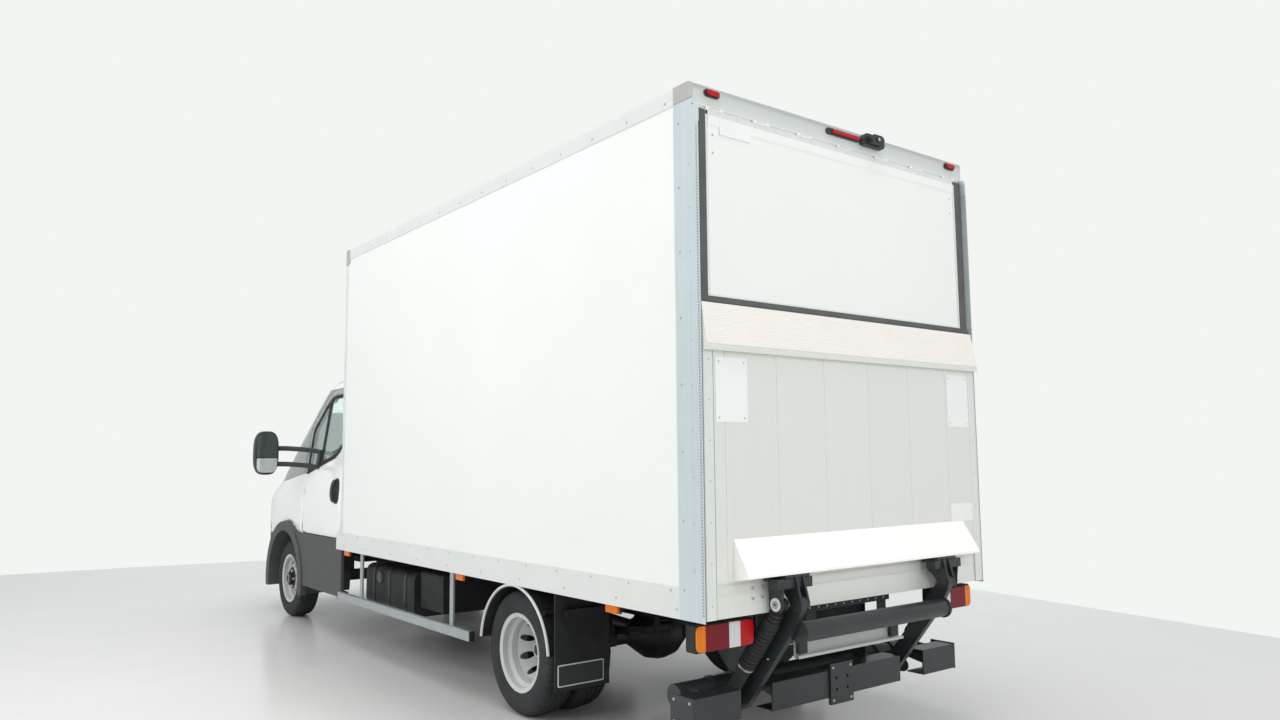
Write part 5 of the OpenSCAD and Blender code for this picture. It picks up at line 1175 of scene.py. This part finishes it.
doorOutline = roundedOutline([(0.415, 0.800), (1.370, 0.800), (1.370, 2.072), (0.790, 2.072),
                              (0.415, 1.755)], np.array([0.05, 0.05, 0.06, 0.16, 0.12]), 7)
windowOutline = roundedOutline([(0.468, 1.335), (0.790, 1.405), (1.130, 1.476), (1.262, 1.545),
                                (1.322, 1.650), (1.322, 2.020), (0.810, 2.020), (0.468, 1.728)],
                               np.array([0.05, 0.1, 0.1, 0.08, 0.1, 0.06, 0.13, 0.05]), 6)


def grown(outline, by):
    # Each corner moved outwards along the mean of its two side normals
    before, after = np.roll(outline, 1, 0), np.roll(outline, -1, 0)
    run = after - before
    run /= np.linalg.norm(run, axis=1, keepdims=True) + 1e-12
    return outline + by * np.stack([run[:, 1], -run[:, 0]], -1)


archR = 0.445 + 0.085 + 0.0003
archTurn = np.linspace(-0.3, np.pi + 0.3, 90)
archLine = np.stack([archR * np.cos(archTurn), tyreR + archR * np.sin(archTurn)], -1)
lampOutline = roundedOutline([(-1.2, 0.748), (-0.600, 0.748), (-0.572, 0.790), (-0.690, 0.899),
                              (-1.2, 0.899)], np.array([0.01, 0.02, 0.03, 0.06, 0.01]), 6)
loops = [outer, lampOutline, grown(lampOutline, 0.006), doorOutline, grown(doorOutline, gap), windowOutline,
         grown(windowOutline, -0.022)]
lines = [archLine, np.array([(-1.0, 0.748), (-0.1, 0.748)]), np.array([(-1.0, 0.742), (-0.1, 0.742)]),
         np.array([(0.25, 0.797), (1.46, 0.797)]), np.array([(0.778, 1.38), (0.778, 2.05)]),
         np.array([(0.822, 1.38), (0.822, 2.05)])]
cloudY, cloudZ = np.meshgrid(np.arange(-1.0, 1.46, cabValues["gridPitch"]),
                             np.arange(0.32, 2.3, cabValues["gridPitch"]), indexing="ij")
cloud = np.stack([cloudY + 0.0113 * np.sin(31 * cloudZ), cloudZ + 0.0107 * np.sin(29 * cloudY)],
                 -1).reshape(-1, 2)
cloud = cloud[insideBy(outer, cloud) < -0.012]
flat, edges = [], []
for loop in loops:
    start = len(flat)
    flat += [Vector(p) for p in loop.tolist()]
    edges += [(start + k, start + (k + 1) % len(loop)) for k in range(len(loop))]
for line in lines:
    start = len(flat)
    flat += [Vector(p) for p in line.tolist()]
    edges += [(start + k, start + k + 1) for k in range(len(line) - 1)]
flat += [Vector(p) for p in cloud.tolist()]
flatPoints, _, triangles = delaunay_2d_cdt(flat, edges, [], 0, 1e-6)[:3]
flatPoints = np.array([tuple(p) for p in flatPoints])
triangles = np.array([t for t in triangles if len(t) == 3])
centre = flatPoints[triangles].mean(1)
within = {"outer": insideBy(outer, centre) < 0, "door": insideBy(doorOutline, centre) < 0,
          "doorGap": insideBy(grown(doorOutline, gap), centre) < 0,
          "window": insideBy(windowOutline, centre) < 0,
          "pane": insideBy(grown(windowOutline, -0.022), centre) < 0,
          "arch": np.hypot(centre[:, 0], centre[:, 1] - tyreR) < archR}
y, z = centre.T
divider = np.abs(y - 0.800) < 0.022
kinds = {
    "door": within["door"] & ~within["window"],
    "frame": within["window"] & (~within["pane"] | divider),
    "pane": within["pane"] & ~divider,
    "bumper": within["outer"] & ~within["arch"] & (y < -0.1) & (z < 0.742),
    "lamp": within["outer"] & ~within["arch"] & (insideBy(lampOutline, centre) < 0),
}
kinds["body"] = (within["outer"] & ~within["arch"] & ~within["doorGap"] & (z > 0.748)
                 & (insideBy(grown(lampOutline, 0.006), centre) > 0) & ~((y > 0.25) & (z < 0.797)))
start = np.column_stack([np.full(len(flatPoints), 0.35), flatPoints])
sideFull = onCab(start, np.broadcast_to([1.0, 0, 0], start.shape), 0.72)


def flankPart(kind, depth=0.0):
    # The triangles of one kind, on the skin, moved inwards by depth
    chosen = triangles[kinds[kind]]
    used, renumbered = np.unique(chosen, return_inverse=True)
    points = sideFull[used] - [depth, 0, 0]
    return points + [0, axleY, 0], renumbered.reshape(-1, 3).tolist()


def facing(part, away):
    # Turns each face so that it looks away from a place inside the cab
    points, faces = part
    points = np.asarray(points).reshape(-1, 3)
    middle = np.array([points[list(f[:3])].mean(0) for f in faces])
    a, b, c = (points[[f[k] for f in faces]] for k in (0, 1, 2))
    flip = (np.cross(b - a, c - a) * (middle - away)).sum(1) < 0
    return points, [f[::-1] if turn else f for f, turn in zip(faces, flip)]


inside = np.array([0, axleY + 0.45, 1.25])
skin = cabValues["skin"]


def front(s0, s1, low, high, columns, depth=0.0):
    # Patch of the front from s0 to s1; its half widths are numbers or functions of s
    rows = rowsBetween(s0, s1)
    low, high = (half(rows) if callable(half) else half for half in (low, high))
    return inCab(surface(frontPatch(rows, low, high, columns, depth)))


def join(parts):
    # All parts with their faces turned away from the cab's middle
    return [facing(part, inside) for part in parts]


bonnetHalf = cabValues["bonnetHalf"]
shell = [front(sLamp + 0.006, sBonnet + gap, bonnetHalf + gap, edgeX, 5),
         front(sBonnet + gap, sGlassLow, 0.0, edgeX, 40),
         front(sGlassLow, sGlassHigh, glassHalf, edgeX, 8),
         front(sGlassHigh, sEnd, 0.0, edgeX, 40),
         flankPart("body")]
backPoints = np.array([(x, 1.456, z) for z in np.linspace(0.72, 2.16, 30)
                       for x in np.linspace(-1, 1, 3)]).reshape(30, 3, 3)
backHalf = onCab(np.stack([np.full(30, 0.3), np.full(30, 1.43), backPoints[:, 0, 2]], -1),
                 np.broadcast_to([1.0, 0, 0], (30, 3)), 0.8)[:, 0]
backPoints[..., 0] *= (backHalf - 0.004)[:, None]
cabShell = piece("cabShell", join(bothSides(shell)) + join([inCab(surface(backPoints))]), cabPaint,
                 slotName="cab_paint", replaces=["cab_body"], smooth=True, outward=False, angle=40)
sheet(cabShell, skin)
bonnet = piece("bonnetSkin", join(bothSides([front(sLamp + 0.006, sBonnet, 0.0, bonnetHalf, 42)])), cabPaint,
               "bonnet", "cab_paint", replaces=["bonnet"], smooth=True, outward=False, angle=40)
sheet(bonnet, skin)
screen = piece("windscreenGlass",
               join(bothSides([front(sGlassLow + 0.002, sGlassHigh - 0.002, 0.0,
                                     lambda s: glassHalf(s) - 0.003, 34, 0.004)])), clearGlass,
               slotName="clear_glass", replaces=["windscreen"], smooth=True, outward=False, angle=60)
sheet(screen, 0.005)
rimParts = [front(sGlassLow + 0.002, sGlassHigh - 0.002, lambda s: glassHalf(s) - 0.035,
                  lambda s: glassHalf(s) - 0.001, 4, 0.0025),
            front(sGlassLow + 0.001, sGlassLow + 0.075, 0.0, lambda s: glassHalf(s) - 0.03, 30, 0.0025),
            front(sGlassHigh - 0.045, sGlassHigh - 0.001, 0.0, lambda s: glassHalf(s) - 0.03, 30, 0.0025)]
piece("windscreenBand", join(bothSides(rimParts)), plasticBlack, slotName="dark_plastic", smooth=True,
      outward=False, angle=60)


def risingEdge(part):
    # The bumper's lower edge rises towards the wheel: z is at least 0.245 + 0.155 * t^2 (3 - 2 t),
    # and t runs from 0 to 1 between |x| = 0.52 and 0.92
    points, faces = part
    t = np.clip((np.abs(points[:, 0]) - 0.52) / 0.40, 0, 1)
    points[:, 2] = np.maximum(points[:, 2], 0.245 + 0.155 * t ** 2 * (3 - 2 * t))
    return points, faces


bumperParts = bothSides([front(0, sBumper - 0.002, 0.0, edgeX, 40), flankPart("bumper")])
bumper = piece("bumperSkin", join([risingEdge(part) for part in bumperParts]), plasticDark,
               slotName="dark_plastic", replaces=["front_bumper"], smooth=True, outward=False, angle=40)
sheet(bumper, 0.03)
for side, label in ((1, "left"), (-1, "right")):
    middle = np.array([side * 0.3, axleY + 0.9, 1.3])
    skinPart, framePart, panePart = (
        [facing(part, middle) for part in onSide([flankPart(kind, depth)], side)]
        for kind, depth in (("door", 0.0), ("frame", -0.0012), ("pane", 0.004)))
    door = piece("doorSkin_" + label, skinPart, cabPaint, "door_" + label, "cab_paint",
                 replaces=["door_" + label], smooth=True, outward=False, angle=40)
    sheet(door, 0.050)
    sheet(piece("doorFrame_" + label, framePart, plasticBlack, "door_" + label, "dark_plastic",
                smooth=True, outward=False, angle=40), 0.020)
    sheet(piece("doorGlass_" + label, panePart, clearGlass, "door_" + label, "clear_glass",
                replaces=["glass_" + label], smooth=True, outward=False, angle=40), 0.005)
lampBand = [front(sBumper + 0.004, sLamp, 0.434, edgeX, 20), flankPart("lamp")]
sheet(piece("headlampGlass", join(bothSides(lampBand)), clearGlass, slotName="lamp_clear",
            replaces=["headlamps"], smooth=True, outward=False, angle=60), 0.004)
lampBack = [front(sBumper + 0.004, sLamp, 0.434, edgeX, 20, 0.045), flankPart("lamp", 0.045)]
piece("headlampBack", join(bothSides(lampBack)), mirrorPlastic, slotName="dark_plastic", smooth=True,
      outward=False, angle=60)
print("cab skin made")


def onFlank(y, z, out=0.0):
    # Place on the cab's side at (y behind the front axle, z), moved outwards
    start = np.column_stack([np.full(len(y), 0.3), y, z])
    points = onCab(start, np.broadcast_to([1.0, 0, 0], start.shape), 0.8)
    return points + [out, axleY, 0]


def onNose(x, z, out=0.0):
    # Place on the cab's front at (x, z), moved forwards
    start = np.column_stack([x, np.full(len(x), -0.45), z])
    points = onCab(start, np.broadcast_to([0, -1.0, 0], start.shape), 0.6)
    return points + [0, axleY - out, 0]


# Door handles: dark oval cup with an upright grip
handle = {"cupY": 1.258, "cupZ": 1.187, "halfWidth": 0.068, "halfHeight": 0.107, "gripY": 1.226}
cupTurn = np.linspace(0, 2 * np.pi, 33)[:-1]
shares = np.array([1.0, 0.92, 0.80, 0.40, 0.02])[:, None]
cupY = handle["cupY"] + handle["halfWidth"] * power(np.cos(cupTurn), 0.7) * shares
cupZ = handle["cupZ"] + handle["halfHeight"] * power(np.sin(cupTurn), 0.7) * shares
cupOut = np.array([0.001, 0.004, 0.003, 0.002, 0.002])[:, None] * np.ones_like(cupTurn)
cup = onFlank(cupY.ravel(), cupZ.ravel()).reshape(5, 32, 3) + np.stack([cupOut, 0 * cupOut, 0 * cupOut], -1)
gripPath = onFlank(np.full(20, handle["gripY"]),
                   np.linspace(1.100, 1.276,
                               20)) + np.column_stack([0.004 + 0.026
                                                       * np.sin(np.linspace(0, np.pi, 20)) ** 0.4,
                                                       np.zeros((20, 2))])
grip = swept(circleProfile(0.0115, 14) * [1.0, 1.25], gripPath, up=(1, 0, 0))
# Belt moulding under the side window: heights between the window outline's lower corners
beltY = np.linspace(0.475, 1.245, 40)
beltPath = onFlank(beltY, np.interp(beltY, [0.468, 0.79, 1.13, 1.262], [1.335, 1.405, 1.476, 1.545]) - 0.006,
                   0.002)
belt = swept(rectangle((-0.004, -0.010), (0.004, 0.010), 0.003), beltPath, up=(0, 0, 1))

# Mirrors: a shell with sections |y|^2.6 + |z|^3.4 = 1 that closes towards its front, cut flat for two glasses
mirror = {"x": 1.312, "behindAxle": 0.398, "z": 1.5155, "half": (0.106, 0.070, 0.1945), "cut": 0.040}
mirrorAt = np.array([mirror["x"], axleY + mirror["behindAxle"], mirror["z"]])
mirrorHalf = mirror["half"]
mirrorZ = np.linspace(-np.pi / 2, np.pi / 2, 33)[:, None]
mirrorTurn = np.linspace(0, 2 * np.pi, 49)[None, :-1]
headX = mirrorHalf[0] * power(np.cos(mirrorZ), 0.62) * power(np.cos(mirrorTurn), 0.55)
headY = mirrorHalf[1] * power(np.cos(mirrorZ), 0.55) * power(np.sin(mirrorTurn), 0.75)
headZ = mirrorHalf[2] * power(np.sin(mirrorZ), 0.66) * np.ones_like(mirrorTurn)
headY = np.minimum(headY, mirror["cut"])
head = surface(np.stack([headX, headY, headZ], -1) + mirrorAt, False, True)
glassTop = rectangle((1.224, 1.478), (1.400, 1.692), [0.014, 0.014, 0.075, 0.075], 9)
glassLow = rectangle((1.224, 1.341), (1.400, 1.468), [0.070, 0.070, 0.012, 0.012], 9)
glassY = mirrorAt[1] + mirror["cut"]
armPaths = [smoothPath([(1.235, axleY + 0.402, z), (1.150, axleY + 0.425, z),
                        (1.030, axleY + 0.560, z - 0.012), (0.945, axleY + 0.700, z - 0.030)], 30)
            for z in (1.415, 1.556)]
armFeet = [onFlank(np.array([0.745]), np.array([z]))[0] for z in (1.392, 1.510)]
armTubes = [swept(circleProfile(0.0175, 16) * [1.0, 1.25], np.vstack([path[:-1], [foot + [-0.02, 0, 0]]]),
                  up=(0, 0, 1)) for path, foot in zip(armPaths, armFeet)]
clamp = [((1.226, axleY + 0.380, 1.395), (1.252, axleY + 0.425, 1.576))]
footPlate = [swept(rectangle((-0.040, -0.006), (0.040, 0.010), 0.005),
                   onFlank(np.full(12, 0.740), np.linspace(1.372, 1.535, 12), 0.004), up=(1, 0, 0))]

mirrorPanes = [plate(outline, glassY - 0.002, glassY + 0.0015, axis=1) for outline in (glassLow, glassTop)]
fittings = [  # name, parts, material, slot, further settings
    ("doorCup_", [surface(cup, False, True)], plasticBlack, "dark_plastic", {"smooth": True, "angle": 50}),
    ("doorGrip_", [grip], plasticDark, "dark_plastic", {"smooth": True}),
    ("doorBelt_", [belt], plasticBlack, "dark_plastic", {"smooth": True}),
    ("mirrorHead_", [head], mirrorPlastic, "dark_plastic", {"smooth": True, "angle": 42}),
    ("mirrorGlass_", mirrorPanes[:1], mirrorGlass, "clear_glass", {"bevel": 0.0008}),
    ("mirrorMain_", mirrorPanes[1:], tintedMirror, "clear_glass", {"bevel": 0.0008}),
    ("mirrorArms_", armTubes + [boxes(clamp)] + footPlate, mirrorPlastic, "dark_plastic", {"smooth": True}),
]
for side, label in ((1, "left"), (-1, "right")):
    for name, parts, material, slotName, settings in fittings:
        stands = ["mirror_" + label] if name == "mirrorHead_" else []
        piece(name + label, onSide(parts, side), material, "door_" + label, slotName, replaces=stands,
              **settings)

# Grille: four bars that follow the nose, with thin uprights behind them
slatX = np.linspace(-0.412, 0.412, 40)
slats = [swept(roundedOutline([(-0.010, -0.007), (0.010, -0.010), (0.010, 0.010), (-0.010, 0.007)], 0.004),
               onNose(slatX, np.full(40, z), 0.004), up=(0, 0, 1)) for z in (0.766, 0.801, 0.836, 0.871)]
uprights = [swept(circleProfile(0.004, 8), onNose(np.full(10, x), np.linspace(0.755, 0.885, 10), -0.010),
                  up=(1, 0, 0)) for x in np.linspace(-0.40, 0.40, 33)]
piece("grilleSlats", slats, plasticDark, slotName="tank_black", smooth=True)
piece("grilleUprights", uprights, plasticBlack, slotName="tank_black", smooth=True)

# Bumper: intake with ribs and a rim, dark back, blank number plate, fog lamps
intakeX = np.linspace(-0.40, 0.40, 40)
intake = [swept(rectangle((-0.007, -0.006), (0.007, 0.006), 0.003), onNose(intakeX, np.full(40, z), 0.005),
                up=(0, 0, 1)) for z in np.linspace(0.452, 0.548, 5)]
frameLoop = rectangle((-0.425, 0.435), (0.425, 0.565), 0.03, 7)
frameLoop = np.vstack([frameLoop, frameLoop[:1]])
piece("intakeRibs", intake + [swept(circleProfile(0.008, 10),
                                    onNose(frameLoop[:, 0], frameLoop[:, 1], 0.004), up=(0.2, 0.3, 1))],
      plasticBlack, slotName="tank_black", smooth=True)
backX, backZ = np.linspace(-0.415, 0.415, 30), np.linspace(0.442, 0.558, 6)
backGrid = onNose(np.repeat(backX, 6), np.tile(backZ, 30), 0.0015).reshape(30, 6, 3)
piece("intakeBack", [surface(backGrid)], mirrorPlastic, slotName="tank_black", outward=False, smooth=True)
plateX, plateZ = np.linspace(-0.26, 0.26, 12), np.linspace(0.590, 0.700, 5)
plateGrid = onNose(np.repeat(plateX, 5), np.tile(plateZ, 12), 0.008).reshape(12, 5, 3)
sheet(piece("numberPlate", [facing(surface(plateGrid), inside)], carrierShade, outward=False, bevel=0.0008),
      0.006)
fogAt = onNose(np.array([0.640]), np.array([0.480]), 0.0)[0]
piece("fogLamps", bothSides([turned([(fogAt[1] + 0.04, 0.052), (fogAt[1] - 0.014, 0.052),
                                     (fogAt[1] - 0.018, 0.047), (fogAt[1] - 0.018, 0.042),
                                     (fogAt[1] - 0.010, 0.040)], (fogAt[0], 0, fogAt[2]), axis=1, steps=40,
                                    caps=True)]), plasticBlack, slotName="tank_black", smooth=True, angle=30)
piece("fogLenses", bothSides([turned([(fogAt[1] - 0.009, 0.0405), (fogAt[1] - 0.0135, 0.030),
                                      (fogAt[1] - 0.0155, 0.014), (fogAt[1] - 0.016, 0.0005)],
                                     (fogAt[0], 0, fogAt[2]), axis=1, steps=40)]), lensWhite,
      slotName="lamp_clear", smooth=True, outward=False)
# Headlamp bowls behind the clear cover
bowls = []
for x, r in ((0.545, 0.052), (0.670, 0.048), (0.780, 0.040)):
    spot = onNose(np.array([x]), np.array([0.822]), -0.040)[0]
    bowls.append(turned([(spot[1] - 0.022, r), (spot[1] - 0.018, r * 0.97), (spot[1] + 0.004, r * 0.7),
                         (spot[1] + 0.022, r * 0.3), (spot[1] + 0.024, 0.0005)], (x, 0, 0.822), axis=1,
                        steps=40))
piece("headlampBowls", bothSides(bowls), mirrorGlass, slotName="lamp_clear", smooth=True, outward=False)


def onScreen(x, s, out=0.0):
    # Places on the windscreen at (x, s), moved outwards
    spots = [frontPatch(np.array([one]), across, across, 1, -out)[0] for across, one in zip(x, s)]
    return np.concatenate(spots) + [0, axleY, 0]


# Wipers: arm and blade that follow the windscreen
for index, (x0, x1) in enumerate(((0.62, 0.02), (-0.02, -0.60))):
    blade = onScreen(np.linspace(x0, x1, 16), np.linspace(sGlassLow + 0.060, sGlassLow + 0.110, 16), 0.014)
    arm = onScreen(np.linspace(x0 + 0.06, (x0 + x1) / 2, 10),
                   np.linspace(sGlassLow - 0.030, sGlassLow + 0.088, 10), 0.026)
    parts = [swept(roundedOutline([(-0.005, -0.008), (0.005, -0.008), (0.003, 0.006), (-0.003, 0.006)],
                                  0.002), blade, up=(0, -0.6, 1)),
             swept(rectangle((-0.008, -0.004), (0.008, 0.004), 0.003), arm, up=(0, -0.6, 1))]
    piece("wiper_" + str(index), parts, plasticBlack, slotName="dark_plastic", smooth=True)

# Wind deflector: stations (y behind the front axle, height, half width),
# each a section |x|^6 + |z|^6 = 1 of that size
base, wall = 2.155, 0.006
spine = smoothPath([(0.715, 2.212, 0.70), (0.76, 2.30, 0.73), (0.90, 2.47, 0.765), (1.14, 2.72, 0.815),
                    (1.33, 2.925, 0.870), (1.46, 3.045, 0.918), (1.519, 3.078, 0.929)], 60)
turn = np.linspace(0, np.pi, 61)[None]
shellX = spine[:, 2:] * power(np.cos(turn), 1 / 3)
shellZ = base + (spine[:, 1:2] - base) * power(np.sin(turn), 1 / 3)
bulge = np.clip((1.46 - spine[:, :1]) / 0.7, 0, 1)
shellY = np.repeat(spine[:, :1], 61, 1) + 0.10 * (shellX / 0.93) ** 2 * bulge
deflector = np.stack([shellX, shellY + axleY, shellZ], -1)
sheet(piece("windDeflector", [facing(surface(deflector), np.array([0, axleY + 1.3, 2.2]))], cabPaint,
            slotName="cab_paint", replaces=["roof_deflector"], smooth=True, outward=False, angle=60), wall)
struts = [swept(circleProfile(0.012, 12), [(x, axleY + 1.40, 2.20), (x, axleY + 1.44, 2.95)], up=(0, 1, 0))
          for x in (-0.62, 0.62)]
piece("deflectorStruts", struts, chassisPaint, smooth=True)
print("cab fittings made")

# Side markers: amber lens with a domed face on a black foot
markerParts, footParts = [], []
for back in (4.288, 2.331, 0.700):
    y = rearY - back
    markerParts.append(plate(rectangle((y - 0.050, 0.6905), (y + 0.050, 0.7290), 0.006), 1.026, 1.0455))
    footParts.append(plate(rectangle((y - 0.054, 0.6900), (y + 0.054, 0.7297), 0.005), 1.018, 1.030))
piece("sideMarkers", bothSides(markerParts), lensAmber, bevel=0.004, bevelSteps=3, slotName="lens_amber",
      replaces=["marker_lamps"])
piece("sideMarkerFeet", bothSides(footParts), plasticBlack, bevel=0.001, slotName="tank_black")


def cushion(centre, half, lean=0.0):
    # Swollen box: half sizes times |cos|^0.3 and |sin|^0.3 of two angles, leaned about x
    a, b = np.linspace(-np.pi / 2, np.pi / 2, 25)[:, None], np.linspace(0, 2 * np.pi, 49)[None, :-1]
    x = half[0] * power(np.cos(a), 0.30) * power(np.cos(b), 0.30)
    y = half[1] * power(np.cos(a), 0.30) * power(np.sin(b), 0.30)
    z = half[2] * power(np.sin(a), 0.30) * np.ones_like(b)
    c, s = math.cos(lean), math.sin(lean)
    return surface(np.stack([x, y * c - z * s, y * s + z * c], -1) + np.asarray(centre), False, True)


# Seats: base cushion, back, headrest, and side bolsters of both; the headrest stands on two rods
seats = {"places": ((0.56, 0.50), (-0.085, 0.42), (-0.515, 0.42)), "backLean": -0.13, "headLean": -0.10,
         "bolsterIn": 0.045}
seatParts, baseParts = [], []
for x, width in seats["places"]:
    seatParts += [cushion((x, axleY + 0.925, 1.065), (width / 2 - 0.004, 0.262, 0.064)),
                  cushion((x, axleY + 1.262, 1.44), (width / 2 - 0.010, 0.050, 0.330), seats["backLean"]),
                  cushion((x, axleY + 1.325, 1.825), (0.135, 0.040, 0.085), seats["headLean"])]
    for side in (-1, 1):
        bolsterX = x + side * (width / 2 - seats["bolsterIn"])
        seatParts += [cushion((bolsterX, axleY + 1.225, 1.40), (0.040, 0.052, 0.250), seats["backLean"]),
                      cushion((bolsterX, axleY + 0.925, 1.095), (0.040, 0.250, 0.046))]
        rod = [(x + side * 0.05, axleY + 1.315, 1.70), (x + side * 0.05, axleY + 1.325, 1.80)]
        baseParts += [swept(circleProfile(0.007, 8), rod, up=(0, 1, 0))]
baseParts += [boxes([((0.56 - 0.21, axleY + 0.70, 0.742), (0.56 + 0.21, axleY + 1.18, 1.02)),
                     ((-0.69, axleY + 0.70, 0.742), (0.09, axleY + 1.18, 1.02))])]
seatCushions = piece("seatCushions", seatParts, seatCloth, slotName="seat_cloth", replaces=["seats"],
                     smooth=True)
piece("seatBases", baseParts, cabTrim, slotName="dark_plastic", bevel=0.006)


def halfAt(y, z):
    # Half width inside the cab's skin and lining
    return onFlank(np.array([y]), np.array([z]))[0][0] - 0.055


# Cab floor, bulkhead and cowl inside the skin, in trim
walls = [((-halfAt(0.6, 0.80), axleY + 0.10, 0.702), (halfAt(0.6, 0.80), axleY + 1.43, 0.738)),
         ((-halfAt(0.2, 0.9), axleY + 0.102, 0.740), (halfAt(0.2, 0.9), axleY + 0.128, 1.20)),
         ((-0.88, axleY - 0.30, 1.202), (0.88, axleY + 0.125, 1.222)),
         ((-halfAt(1.4, 1.5), axleY + 1.418, 0.74), (halfAt(1.4, 1.5), axleY + 1.428, 1.90))]
piece("cabLining", [boxes(walls)], cabTrim, bevel=0.004, slotName="dark_plastic")

earBlocks = [plate(roundedOutline([(rearY + 0.006, 0.898), (rearY + 0.006, 0.830), (rearY + 0.060, 0.818),
                                   (rearY + 0.094, 0.850), (rearY + 0.094, 0.898)], 0.012), 0.5275, 0.5925)]
topPads = [boxes([((0.470, rearY + 0.036, 0.850), (0.700, rearY + 0.0945, 0.8965)),
                  ((0.478, rearY + 0.004, 0.8835), (0.700, rearY + 0.050, 0.8965))])]
piece("earCovers", bothSides(earBlocks + topPads), liftPaint, "deck", "lift_steel", bevel=0.004, bevelSteps=3)
sideCheeks = [plate(roundedOutline([(rearY + 0.075, 0.745), (rearY + 0.121, 0.745), (rearY + 0.132, 0.790),
                                    (rearY + 0.118, 0.845), (rearY + 0.070, 0.870), (rearY + 0.060, 0.800)],
                                   0.014), 0.5926, 0.5954)]
piece("earCheeks", bothSides(sideCheeks), liftPaint, "deck", "lift_steel", bevel=0.001)
print("seats and lift covers made")
